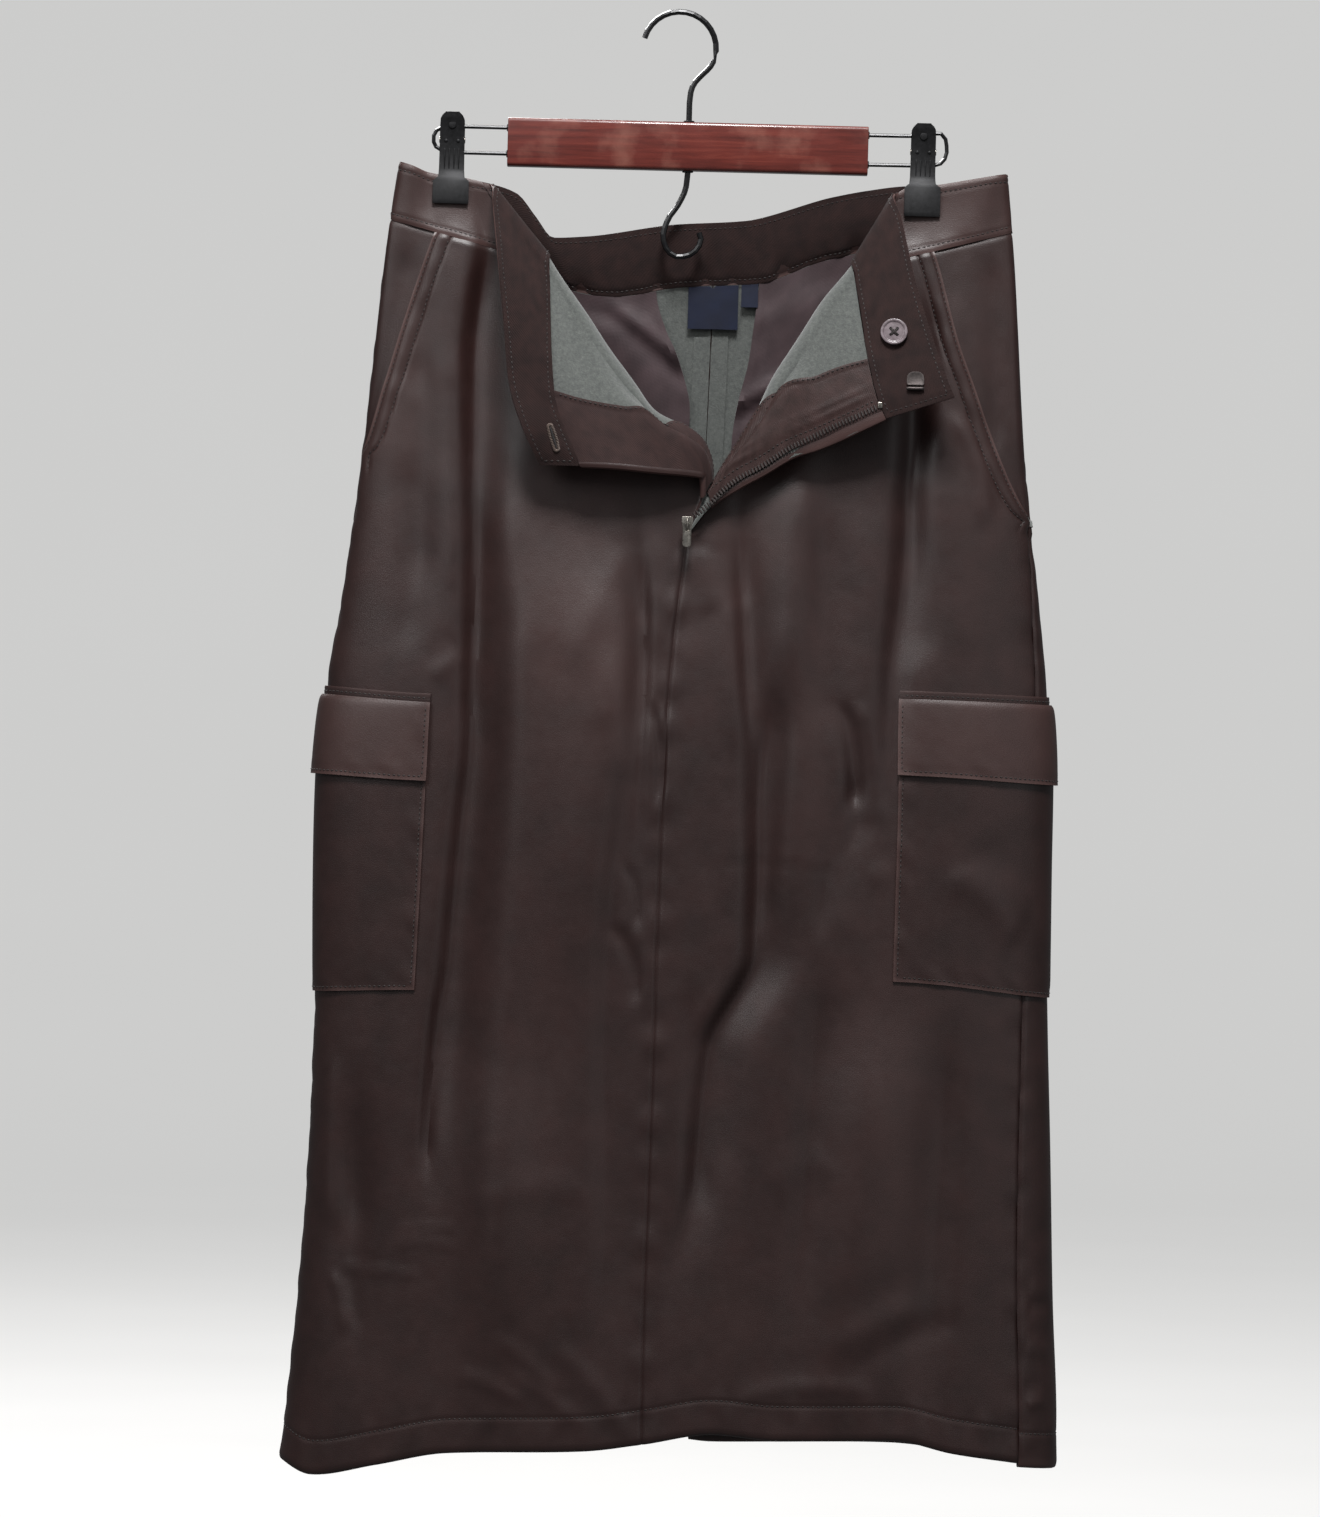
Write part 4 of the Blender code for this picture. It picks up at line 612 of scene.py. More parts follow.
def makeKnit():
    # brushed polyester knit, the wrong side of the coated cloth: heathered, matt, a little fuzzy
    material, tree, shader, place = newMaterial("brushed knit backing", {
        "Roughness": 0.95, "Specular IOR Level": 0.18, "Sheen Weight": 0.35, "Sheen Roughness": 0.6})
    heather = addNode(tree, "TexNoise", {"Scale": perMm(2.4), "Detail": 6.0, "Roughness": 0.8},
                      {"Vector": place}).outputs["Fac"]
    fuzz = addNode(tree, "TexNoise", {"Scale": perMm(knitBacking["loop"]), "Detail": 3.0},
                   {"Vector": place}).outputs["Fac"]
    base = colourRamp(tree, heather, [(0.3, knitBacking["dark"]), (0.56, knitBacking["light"]),
                                      (0.78, knitBacking["fleck"])])
    tree.links.new(base, shader.inputs["Base Color"])
    shapedBump(tree, shader, fuzz, 0.55, 0.6)
    return material


def makeTwill(name, dark, light, line=1.5, roughness=0.88):
    # cotton twill: fine diagonal wales, matt with a faint bloom; the wales are drawn coarse enough to show
    material, tree, shader, place = newMaterial(name, {
        "Roughness": roughness, "Specular IOR Level": 0.25, "Sheen Weight": 0.05, "Sheen Roughness": 0.5}, "clothMm")
    turnedPlace = addNode(tree, "Mapping", {"Rotation": (0, 0, math.radians(52))}, {"Vector": place})
    wales = addNode(tree, "TexWave", {"Scale": 0.314 / line, "Distortion": 0.6, "Detail": 2.0,
                                                "Detail Scale": 1.5}, {"Vector": turnedPlace.outputs[0]})
    mottle = addNode(tree, "TexNoise", {"Scale": 0.11, "Detail": 5.0}, {"Vector": place}).outputs["Fac"]
    colourRamp(tree, mottle, [(0.32, dark), (0.72, light)], shader)
    slub = addNode(tree, "TexNoise", {"Scale": 0.8, "Detail": 3.0}, {"Vector": place}).outputs["Fac"]
    uneven = shapedBump(tree, shader, slub, 0.4, 0.4)
    shapedBump(tree, shader, wales.outputs["Fac"], 0.35, 0.25, uneven)
    return material


def makeWoven(name, dark, light, thread, roughness, sheen):
    # plain weave: crossing threads with a slight lustre
    material, tree, shader, place = newMaterial(name, {
        "Roughness": roughness, "Sheen Weight": sheen, "Sheen Roughness": 0.4, "Specular IOR Level": 0.35}, "clothMm")
    warp = addNode(tree, "TexWave", {"Scale": 0.314 / thread, "bands_direction": "X", "Distortion": 0.3},
                   {"Vector": place}).outputs["Fac"]
    weft = addNode(tree, "TexWave", {"Scale": 0.314 / thread, "bands_direction": "Y", "Distortion": 0.3},
                   {"Vector": place}).outputs["Fac"]
    weave = addNode(tree, "Math", {"operation": "MULTIPLY"}, {0: warp, 1: weft}).outputs[0]
    mottle = addNode(tree, "TexNoise", {"Scale": 0.06, "Detail": 4.0}, {"Vector": place}).outputs["Fac"]
    colourRamp(tree, mottle, [(0.3, dark), (0.7, light)], shader)
    shapedBump(tree, shader, weave, 0.3, 0.3)
    return material


def makeMetal(name, colour, roughness, metallic, scratch, bump):
    # plated or lacquered metal: fine handling scratches and uneven gloss
    material, tree, shader, place = newMaterial(name, {"Metallic": metallic})
    marks = addNode(tree, "TexNoise", {"Scale": perMm(scratch), "Detail": 6.0, "Roughness": 0.7},
                    {"Vector": place}).outputs["Fac"]
    base = colourRamp(tree, marks, [(0.3, colour[0]), (0.7, colour[1])])
    tree.links.new(base, shader.inputs["Base Color"])
    rough = addNode(tree, "MapRange", {"To Min": roughness[0], "To Max": roughness[1]}, {"Value": marks})
    tree.links.new(rough.outputs["Result"], shader.inputs["Roughness"])
    shapedBump(tree, shader, marks, bump, 0.15)
    return material


def makeWood():
    # stained beech under a thick clear varnish: reddish, faint long grain, small dents and rubs
    material, tree, shader, place = newMaterial("varnished stained beech", {
        "Coat Weight": 0.7, "Coat Roughness": 0.16, "Specular IOR Level": 0.5})
    stretched = addNode(tree, "Mapping", {"Scale": (0.06, 1, 1)}, {"Vector": place}).outputs[0]
    grain = addNode(tree, "TexNoise", {"Scale": perMm(3.5), "Detail": 7.0, "Roughness": 0.65,
                                                 "Distortion": 0.4}, {"Vector": stretched}).outputs["Fac"]
    blotch = addNode(tree, "TexNoise", {"Scale": perMm(24), "Detail": 4.0}, {"Vector": place}).outputs["Fac"]
    base = colourRamp(tree, grain, [(0.3, "#45150f"), (0.55, "#60231b"), (0.75, "#763529")])
    pale = addNode(tree, "MapRange", {"From Min": 0.5, "From Max": 0.75, "To Max": 0.3}, {"Value": blotch})
    mixed = addNode(tree, "Mix", {"data_type": "RGBA", 7: linearColour("#a5705f")},
                    {0: pale.outputs["Result"], 6: base})
    tree.links.new(mixed.outputs[2], shader.inputs["Base Color"])
    rough = addNode(tree, "MapRange", {"To Min": 0.22, "To Max": 0.5}, {"Value": blotch})
    tree.links.new(rough.outputs["Result"], shader.inputs["Roughness"])
    dents = shapedBump(tree, shader, blotch, 0.2, 0.5)
    shapedBump(tree, shader, grain, 0.15, 0.15, dents)
    return material


def makeHorn():
    # cast resin made to look like pale horn: cloudy, polished
    material, tree, shader, place = newMaterial("horn-effect resin", {
        "Roughness": 0.27, "Coat Weight": 0.3, "Coat Roughness": 0.12})
    cloud = addNode(tree, "TexNoise", {"Scale": perMm(5), "Detail": 4.0, "Distortion": 1.2},
                    {"Vector": place}).outputs["Fac"]
    colourRamp(tree, cloud, [(0.3, "#574d50"), (0.6, "#6f6468"), (0.8, "#83787c")], shader)
    shapedBump(tree, shader, cloud, 0.08, 0.2)
    return material


def makeThread(name, dark, light):
    # spun polyester thread: two plies catching the light unevenly
    material, tree, shader, place = newMaterial(name, {
        "Roughness": 0.6, "Sheen Weight": 0.2, "Specular IOR Level": 0.4})
    ply = addNode(tree, "TexNoise", {"Scale": perMm(0.7), "Detail": 2.0}, {"Vector": place}).outputs["Fac"]
    colourRamp(tree, ply, [(0.35, dark), (0.65, light)], shader)
    shapedBump(tree, shader, ply, 0.4, 0.15)
    return material


finishes = {
    "leather": makeFauxLeather("polyurethane faux leather"),
    "knit": makeKnit(),
    "twill": makeTwill("brown cotton twill", "#1d1110", "#291917"),
    "flyTwill": makeTwill("brown facing cloth", "#281918", "#352321", line=1.2, roughness=0.75),
    "flyLeather": makeTwill("coated zip facing", "#281917", "#3a2826", line=1.2, roughness=0.5),
    "pocketing": makeWoven("mauve pocketing", "#302326", "#403134", 0.9, 0.6, 0.14),
    "label": makeWoven("navy woven label", "#040a1f", "#09132c", 0.7, 0.75, 0.02),
    "thread": makeThread("brown sewing thread", "#120c0b", "#241917"),
    "paleThread": makeThread("taupe buttonhole thread", "#43372f", "#5f5049"),
    "nickel": makeMetal("bright nickel plate", ("#8a857e", "#b3aea6"), (0.2, 0.38), 1.0, 1.2, 0.08),
    "dullNickel": makeMetal("black nickel plate", ("#3c3837", "#595352"), (0.42, 0.58), 1.0, 1.0, 0.1),
    "wire": makeMetal("black lacquered wire", ("#0b0b0c", "#19191b"), (0.22, 0.42), 0.35, 2.0, 0.08),
    "clip": makeMetal("blackened spring steel", ("#0d0d0e", "#1f1f21"), (0.42, 0.62), 0.55, 2.4, 0.12),
    "wood": makeWood(),
    "horn": makeHorn(),
    "slit": makeThread("shadowed slit edge", "#0c0807", "#171010"),
}
print("finishes made")

frontColumns = {"hip": stretches((-1, 0, 22, 1)),
                "main": stretches((0, 1, 44, 1), (1, 1.93, 52, 1), (1.93, 2, 12, 1))}
turnColumns = {"left": stretches((2, 3, 18, 1), (3, 4, 22, 1), (4, 5, 16, 1)),
               "right": stretches((2, 3, 18, 1), (3, 4, 22, 1), (4, 5, 16, 1), (5, 6, 6, 1))}
backColumns = stretches((0, 1, 44, 1), (1, 1.95, 42, 1), (1.95, 2, 6, 1), (2, 2.05, 6, 1), (2.05, 3, 42, 1),
                        (3, 4, 44, 1))
# the columns that lie on the centre-back seam and on the pockets' guides
backMiddle, backGuide = (int(np.searchsorted(backColumns, place)) for place in (2, 3))
frontGuide = int(np.searchsorted(frontColumns["main"], 1))
hipCover = 16                             # columns of the front that the hip facing runs on under
stitchLines = {"panels": [], "trims": [], "inside": []}


def waver(along, seed=0.0):               # uneven waviness, about -1 to 1
    return (np.sin(along / 1.21 + seed) + 0.8 * np.sin(along / 1.93 + 1.7 * seed + 1)
            + 0.9 * np.sin(along / 3.37 + 0.6 * seed + 2)) / 2.2


def ridge(distance, height, reach):       # a soft ridge
    return height * np.exp(-(distance / reach) ** 2)


def lifted(grid, out, height):            # the cloth pushed out along its normals
    return grid + out * height[:, :, None]


def dip(distance, depth, reach):          # a soft groove
    return ridge(distance, -depth, reach)


def insetLine(grid, out, edge, distance, trim=None):   # places and normals that far in from an edge
    both = np.concatenate([grid, out], axis=2)
    if edge in ("top", "bottom"):
        both = both.transpose(1, 0, 2)
    if edge in ("bottom", "last"):
        both = both[:, ::-1]
    line = []
    for row in both:
        along = pathLengths(row[:, :3])
        line.append(readAlong(row, along, distance))
    line = np.array(line)
    if trim is not None:
        along = pathLengths(line[:, :3])
        line = line[(along >= trim[0]) & (along <= along[-1] - trim[1])]
    return line


def pulledIn(grid, column, amount):       # leaves a gap at a seam
    step = 1 if column == 0 else -1
    grid = grid.copy()
    ahead = grid[:, column + step] - grid[:, column]
    sizes = np.linalg.norm(ahead, axis=1, keepdims=True)
    grid[:, column] += ahead * np.minimum(amount / np.maximum(sizes, 1e-6), 0.4)
    return grid


def turnedUp(grid, out, depth):           # the hem allowance, folded up inside
    bottom = grid[-1]
    down = unit(bottom - grid[-2])
    radius = onTop / 2
    rows = [grid]
    for share in (0.25, 0.5, 0.75, 1):
        angle = math.pi * share
        rows.append((bottom + down * radius * math.sin(angle) - out[-1] * radius * (1 - math.cos(angle)))[None])
    for high in (3, 8, 14, depth):
        line = insetLine(grid, out, "bottom", high)
        rows.append((line[:, :3] - line[:, 3:] * onTop)[None])
    return np.concatenate(rows)


def meshPiece(name, places, faces, finish=None):   # places in mm
    mesh = bpy.data.meshes.new(name)
    mesh.from_pydata((np.asarray(places) * mm).tolist(), [], faces)
    if finish:
        mesh.materials.append(finishes[finish])
    piece = bpy.data.objects.new(name, mesh)
    bpy.context.scene.collection.objects.link(piece)
    return piece


def repaired(mesh, merge, outward):       # places that meet made one, faces turned to the outside
    shape = bmesh.new()
    shape.from_mesh(mesh)
    if merge:
        bmesh.ops.remove_doubles(shape, verts=shape.verts, dist=0.004 * mm)
    if outward:
        bmesh.ops.recalc_face_normals(shape, faces=shape.faces)
    shape.to_mesh(mesh)
    shape.free()


def clothPiece(name, grids, nodes=(), look=("leather", "leather", leather), inner=None, turnedOver=False, wearAndSheen=None):                   # look: finish, slot, thickness
    finish, slotName, thickness = look
    places = []
    faces = []
    marks = []
    wearAndSheenParts = []
    base = 0
    for i, grid in enumerate(grids):
        rows, count = grid.shape[:2]
        index = base + np.arange(rows * count).reshape(rows, count)
        quads = np.stack([index[:-1, :-1], index[1:, :-1], index[1:, 1:], index[:-1, 1:]], axis=-1).reshape(-1, 4)
        faces.append(quads[:, ::-1] if turnedOver else quads)
        places.append(grid.reshape(-1, 3))
        marks.append(np.stack([lengthsFrom(grid, "first"), lengthsFrom(grid, "top")], axis=-1).reshape(-1, 2))
        wearAndSheenParts.append((wearAndSheen[i] if wearAndSheen is not None else np.zeros((rows, count))).reshape(-1))
        base += rows * count
    faces = np.concatenate(faces)
    piece = meshPiece(name, np.concatenate(places), faces.tolist(), finish)
    mesh = piece.data
    layer = mesh.uv_layers.new(name="clothMm")
    layer.data.foreach_set("uv", np.concatenate(marks)[faces.reshape(-1)].astype(np.float32).reshape(-1))
    # per-point paling for the leather: edge wear and painted highlights
    paledAndLit = mesh.attributes.new("wearAndSheen", "FLOAT", "POINT")
    paledAndLit.data.foreach_set("value", np.concatenate(wearAndSheenParts).astype(np.float32))
    repaired(mesh, True, False)
    if inner:
        mesh.materials.append(finishes[inner])
    wall = piece.modifiers.new("wall", "SOLIDIFY")
    wall.thickness = thickness * mm
    wall.offset = 0
    wall.material_offset = 1 if inner else 0
    finished(piece)
    settle(piece, "skirt", nodes)
    return piece


def finished(piece, angle=38):            # modifiers applied, smooth but for its sharp edges
    bpy.ops.object.select_all(action="DESELECT")
    piece.select_set(True)
    bpy.context.view_layer.objects.active = piece
    for change in list(piece.modifiers):
        bpy.ops.object.modifier_apply(modifier=change.name)
    bpy.ops.object.shade_smooth_by_angle(angle=math.radians(angle))


def settle(piece, body, nodes=()):
    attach(piece, body)
    if nodes:
        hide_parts(*nodes)


stitch = {"pitch": 3.3, "length": 2.5, "radius": 0.42, "sunk": 0.12}


def sewn(name, lines, finish, stitch=stitch):   # short bowed stitches along lines of place and normal
    rings = np.array([-0.5, -0.32, 0, 0.32, 0.5])
    widths = np.array([0.0, 0.8, 1, 0.8, 0.0])
    sides = np.arange(5) * 2 * math.pi / 5
    places = []
    faces = []
    base = 0
    for line in lines:
        along = pathLengths(line[:, :3])
        count = int(along[-1] / stitch["pitch"])
        if count < 1:
            continue
        middle = (np.arange(count) + 0.5) * along[-1] / count
        points = readAlong(line, along, middle)
        way = unit((readAlong(line, along, middle + 0.5) - readAlong(line, along, middle - 0.5))[:, :3])
        up = unit(points[:, 3:])
        side = unit(np.cross(way, up))
        centre = points[:, :3] - up * stitch["sunk"]
        for r, (ring, width) in enumerate(zip(rings, widths)):
            arch = stitch["radius"] * (0.5 - 3.2 * ring * ring)
            for angle in sides:
                places.append(centre + way * ring * stitch["length"] + up * arch
                              + (side * math.cos(angle) + up * math.sin(angle)) * stitch["radius"] * width)
        block = np.stack(places[-25:], axis=1).reshape(-1, 3)
        places = places[:-25] + [block]
        for k in range(count):
            start = base + k * 25
            for r in range(4):
                for s in range(5):
                    t = (s + 1) % 5
                    faces.append([start + r * 5 + s, start + r * 5 + t, start + r * 5 + 5 + t, start + r * 5 + 5 + s])
        base += count * 25
    piece = meshPiece(name, np.concatenate(places), faces, finish)
    repaired(piece.data, True, True)
    finished(piece, 60)
    settle(piece, "skirt")


def sewEdges(grid, out, thickness, edges, kind, way=1):   # edges: (edge, distance in, ends left bare)
    for edge, distance, trim in edges:
        line = insetLine(grid, out, edge, distance, trim)
        line[:, 3:] *= way
        line[:, :3] += line[:, 3:] * thickness / 2
        stitchLines[kind].append(line)


# the back, with its seam and hem
backRows = creased(backWall(backColumns))
backOut = outNormals(backRows)


def slitOpened(grid, column):             # the kick slit's edge drawn aside, more towards the hem
    step = 1 if column == 0 else -1
    grid = grid.copy()
    below = np.clip((backSlit["top"] - grid[:, column, 2]) / (backSlit["top"] - backSlit["hem"]), 0, None)
    lengths = lengthsFrom(grid, "first" if column == 0 else "last")
    way = unit(grid[:, column + step] - grid[:, column])
    share = below[:, None] * np.clip(1 - lengths / backSlit["reach"], 0, 1) ** 2
    return lifted(grid, way[:, None, :], backSlit["half"] * share)


seams = {                                 # depth and reach, pucker's height, reach, length and seed
    "frontMiddle": (1.5, 1.4, 0.7, 8, 3.4, 2), "frontSide": (1.3, 1.4, 0.6, 9, 3.1, 5),
    "backMiddle": (1.4, 1.5, 0.7, 8, 3.3, 7), "backSide": (1.2, 1.4, 0.5, 9, 2.9, 9),
}


def seamRelief(distance, z, name):
    depth, reach, high, wide, wave, seed = seams[name]
    return dip(distance, depth, reach) + ridge(distance, high, wide) * waver(z / wave, seed)


def panelRelief(grid, side, front):       # seams drawn in and slightly puckered, hem stitching
    z = grid[:, :, 2]
    toFirst = lengthsFrom(grid, "first")
    toLast = lengthsFrom(grid, "last")
    toHem = lengthsFrom(grid, "bottom")
    toWaist = lengthsFrom(grid, "top")
    height = dip(toWaist, 1.1, 1.5)
    height += dip(toHem - hem["stitch"], 0.45, 1.3) + ridge(toHem - 10, 0.35, 9) * waver(toFirst / 3.2, 1.3)
    height += ridge(toHem - hem["stitch"], 0.5, 8) * waver(toFirst / 2.1, 4.1) + dip(toHem, 0.6, 1.6)
    if front:
        height += np.where(z < zipEnd, seamRelief(toLast, z, "frontMiddle"), 0)
        slantEnd = slants[side]["z"][-1]
        onSlant = easeIn((z - slantEnd + 4) / 8)
        height += (1 - onSlant) * seamRelief(toFirst, z, "frontSide")
        height += onSlant * (dip(toFirst - slantSewing[0], 0.6, 0.8) + dip(toFirst - slantSewing[1], 0.7, 1.0)
                             + ridge(toFirst - 6.6, 0.8, 3.4)
                             + ridge(toFirst - 7, 0.3, 7) * waver(z / 2.7, 3))
    else:
        middle, outer = (toLast, toFirst) if side == "right" else (toFirst, toLast)
        height += seamRelief(middle, z, "backMiddle") + seamRelief(outer, z, "backSide")
    return height


for side, part, edgeColumn, middleColumn in (("right", slice(0, backMiddle + 1), 0, -1),
                                             ("left", slice(backMiddle, None), -1, 0)):
    grid = pulledIn(backRows[:, part], edgeColumn, 0.12)
    out = backOut[:, part]
    grid = lifted(grid, out, panelRelief(grid, side, False))
    grid = slitOpened(pulledIn(grid, middleColumn, 0.12), middleColumn)
    hemmed = turnedUp(grid, out, hem["turning"])
    wearAndSheen = [np.clip(0.5 * np.exp(-(lengthsFrom(hemmed, "top")[-9] - lengthsFrom(hemmed, "top")) ** 2 / 9), 0, 1)]
    clothPiece(side + "BackPanel", [hemmed], ["back_" + side + "_panel"], inner="knit",
               wearAndSheen=wearAndSheen)
    sewEdges(grid, out, leather, (("bottom", hem["stitch"], None), ), "panels")

bandRows = np.arange(31) / 30             # shares of the way down a waistband


def backBandGrid():                       # the back waistband's rows, from its top down to its seam
    rows = []
    base = backRows[0]
    shares = backShares(backColumns, waistZ, 0)
    top = np.stack([backAt("top" + axis, shares) for axis in "XYZ"], axis=1)
    whole = np.linalg.norm(base - top, axis=1, keepdims=True)
    for share in bandRows:
        down = share * (1 - 0.45 / whole)
        place = mix(top, base, down)
        place[:, 1] = mix(top[:, 1], base[:, 1], down[:, 0] ** cloth["pinch"])
        rows.append(place)
    return np.array(rows)


bandEdges = [("bottom", bandSewing["low"], bandSewing["ends"]), ("top", bandSewing["top"], bandSewing["ends"])]


def bandRelief(grid):                     # rolled top edge, drawn-in seam, the padding between them
    toTop = lengthsFrom(grid, "top")
    toLow = lengthsFrom(grid, "bottom")
    along = lengthsFrom(grid, "first")
    height = dip(toTop, 0.75, 1.6) + dip(toLow, 0.9, 1.5) + (
        dip(toTop - bandSewing["top"], 0.35, 1.0) + dip(toLow - bandSewing["low"], 0.4, 1.0))
    height += 0.45 * np.sin(np.clip(toTop / (toTop + toLow + 1e-6), 0, 1) * math.pi) * waver(along / 6, 2.2)
    height += ridge(toLow - 4, 0.35, 6) * waver(along / 2.6, 6)
    return height


def edgeRub(grid, size=0.8, reach=2.2):   # where a waistband's coating has rubbed pale
    near = np.minimum(lengthsFrom(grid, "top"), lengthsFrom(grid, "bottom"))
    return ridge(near, size, reach)


bandGrid = pulledIn(pulledIn(backBandGrid(), 0, 0.9), -1, 0.9)
bandOut = outNormals(bandGrid)
backFacing = (bandGrid - bandOut * (under + 0.1))[:, 4:-4]
backFacingOut = bandOut[:, 4:-4]
bandGrid = lifted(bandGrid, bandOut, bandRelief(bandGrid))
clothPiece("backWaistband", [bandGrid], ["waistband_back"], wearAndSheen=[edgeRub(bandGrid)])
sewEdges(bandGrid, bandOut, leather, bandEdges, "trims")
facingLow = lengthsFrom(backFacing, "bottom")
facingAlong = lengthsFrom(backFacing, "first")
puckered = (dip(facingLow - 3.4, 0.7, 1.0) + ridge(facingLow - 4, 1.3, 8) * waver(facingAlong / 2.2, 3)
            + dip(facingLow, 0.3, 1.0))
backFacingShown = lifted(backFacing, backFacingOut, -puckered)
clothPiece("backFacing", [backFacingShown], ["facing_back"], twillLook)
sewEdges(backFacingShown, backFacingOut, cloth["twill"], (("bottom", 3.4, (2, 2)), ("top", 4, (2, 2))), "inside", -1)
print("back made")

fronts = {}
flyLast = int(np.searchsorted(upperV, 0.875))   # the row where the fly facings end
sheen = (                                 # painted highlights, broad pale patches on the coating: x, z, width, height, amount
    (-62, -395, 42, 85, 0.34), (-28, -445, 22, 42, 0.22), (52, -360, 30, 70, 0.2), (-185, -240, 26, 90, 0.26),
    (205, -250, 20, 100, 0.16), (-75, -690, 40, 110, 0.14), (150, -700, 34, 120, 0.18), (60, -860, 70, 50, 0.1),
    (-130, -900, 60, 40, 0.1), (96, -470, 12, 60, 0.16))

for side in ("left", "right"):
    way = 1 if side == "left" else -1
    flipped = side == "right"
    hipCount = len(frontColumns["hip"]) - 1
    whole = creased(frontMain(side, np.concatenate([frontColumns["hip"][:-1], frontColumns["main"]])))
    turnedPart = frontTurned(side, whole[:, hipCount:], turnColumns[side])
    upper = np.concatenate([whole[:zipRow + 1], turnedPart[:, 1:]], axis=1)
    upperOut = outNormals(upper) * way
    places = np.concatenate([frontColumns["hip"][:-1], frontColumns["main"], turnColumns[side][1:]])
    closedFrom = int(np.argmax([sideHeight(v, side) <= slants[side]["z"][-1] for v in allV]))
    main = whole[:, hipCount:].copy()
    mainOut = outNormals(main) * way
    height = panelRelief(main, side, True)
    height[:zipRow] *= np.clip(lengthsFrom(main[:zipRow], "last") / 20, 0, 1)
    height[:, -1] = np.where(main[:, -1, 2] > zipEnd, 0, height[:, -1])
    main = lifted(main, mainOut, height)
    seamed = pulledIn(main, 0, 0.12)
    main[closedFrom:] = seamed[closedFrom:]
    turnedPart[:, 0] = main[:zipRow + 1, -1]
    # soft waves in the turned-out cloth
    acrossTurn = lengthsFrom(turnedPart, "first")
    downTurn = lengthsFrom(turnedPart, "top")
    reachIn = easeIn(acrossTurn / 30) * easeIn((1 - upperV[:, None]) / 0.3)
    wave = reachIn * (1.3 * np.sin(downTurn / 17 + acrossTurn / 40)
                      + 0.8 * np.sin(downTurn / 9 - acrossTurn / 21 + 1))
    turnOut = outNormals(turnedPart) * way
    turnedShown = turnedPart + turnOut * wave[:, :, None] * 0.6
    turnedShown[:, 0] = turnedPart[:, 0]
    hemmed = turnedUp(main, mainOut, hem["turning"])
    mainWearAndSheen = ridge(lengthsFrom(hemmed, "first"), 0.7, 2.0) * (hemmed[:, :, 2] > slants[side]["z"][-1])
    # the painted highlights, added to the wear along the pocket mouth
    for x, z, wide, high, amount in sheen:
        away = ((hemmed[:, :, 0] - x) / wide) ** 2 + ((hemmed[:, :, 2] - z) / high) ** 2
        mainWearAndSheen = mainWearAndSheen + amount * np.exp(-away)
    roll = np.clip(turnColumns[side] - 2, 0, 1)
    # paler along the middle of the roll
    rollPaling = np.repeat((0.45 * np.sin(math.pi * roll))[None, :], zipRow + 1, axis=0)
    clothPiece(side + "FrontPanel", [hemmed, turnedShown], ["front_" + side + "_panel"], inner="knit",
               turnedOver=flipped, wearAndSheen=[mainWearAndSheen, rollPaling])
    slantRows = slice(0, closedFrom + 1)
    sewEdges(main[slantRows], mainOut[slantRows], leather,
             (("first", slantSewing[0], (3, 6)), ("first", slantSewing[1], (3, 2))), "panels")
    sewEdges(main, mainOut, leather, (("bottom", hem["stitch"], (1, 1)), ), "panels")

    hipPlaces = np.concatenate([frontColumns["hip"][:-1], frontColumns["main"][:hipCover]])
    inset = easeIn((hipPlaces + 1) / 0.75) * onTop
    hipWidth = len(hipPlaces)
    hip = upper[:closedFrom, :hipWidth] - upperOut[:closedFrom, :hipWidth] * inset[None, :, None]
    hip = pulledIn(hip, 0, 0.9)
    hip = pulledIn(hip.transpose(1, 0, 2), 0, 0.45).transpose(1, 0, 2)
    hipOut = outNormals(hip) * way
    hip = lifted(hip, hipOut, dip(lengthsFrom(hip, "first"), 0.5, 1.6) + dip(lengthsFrom(hip, "top"), 0.5, 1.6))
    clothPiece(side + "HipFacing", [hip], ["hip_facing_" + side], inner="knit", turnedOver=flipped)

    rows = []
    base = upper[0]
    top = np.stack([smoothCurve(bandTop[side]["u"], bandTop[side][axis], places) for axis in "xyz"], axis=1)
    whole0 = np.linalg.norm(base - top, axis=1)
    gap = np.where((places > 1.5) & (places < 3.7), 0.9, 0.45)
    for share in bandRows:
        down = share * (1 - gap / whole0)
        place = mix(top, base, down[:, None])
        place[:, 1] = mix(top[:, 1], base[:, 1], np.where(places < 2, down ** cloth["pinch"], down))
        rows.append(place)
    band = pulledIn(np.array(rows), 0, 0.9)
    bandNormals = outNormals(band) * way
    facing = pulledIn(band - bandNormals * (under + 0.25), 0, 2.2)
    band = lifted(band, bandNormals, bandRelief(band))
    # the band's pale tone: edge wear, plus a painted highlight over the whole band
    clothPiece(side + "FrontWaistband", [band], ["waistband_front_" + side],
               turnedOver=flipped, wearAndSheen=[edgeRub(band, 0.6) + 0.24])
    sewEdges(band, bandNormals, leather, bandEdges, "trims")
    facingLow = lengthsFrom(facing, "bottom")
    facingAlong = lengthsFrom(facing, "first")
    toEnd = lengthsFrom(facing, "last")
    puckered = (dip(facingLow - 3.2, 0.35, 1.0) + ridge(facingLow - 4, 0.45, 8) * waver(facingAlong / 2.7, 5)
                + dip(toEnd - 3.2, 0.3, 1.0) + dip(toEnd, 0.4, 1.2) + dip(facingLow, 0.3, 1.0))
    facingShown = lifted(facing, bandNormals, -puckered)
    clothPiece(side + "FrontFacing", [facingShown], ["facing_front_" + side], twillLook,
               turnedOver=flipped)
    sewEdges(facingShown, bandNormals, cloth["twill"],
             (("bottom", 3.2, (2, 3)), ("top", 3.6, (2, 3)), ("last", 3.2, (3, 3))), "inside", -1)

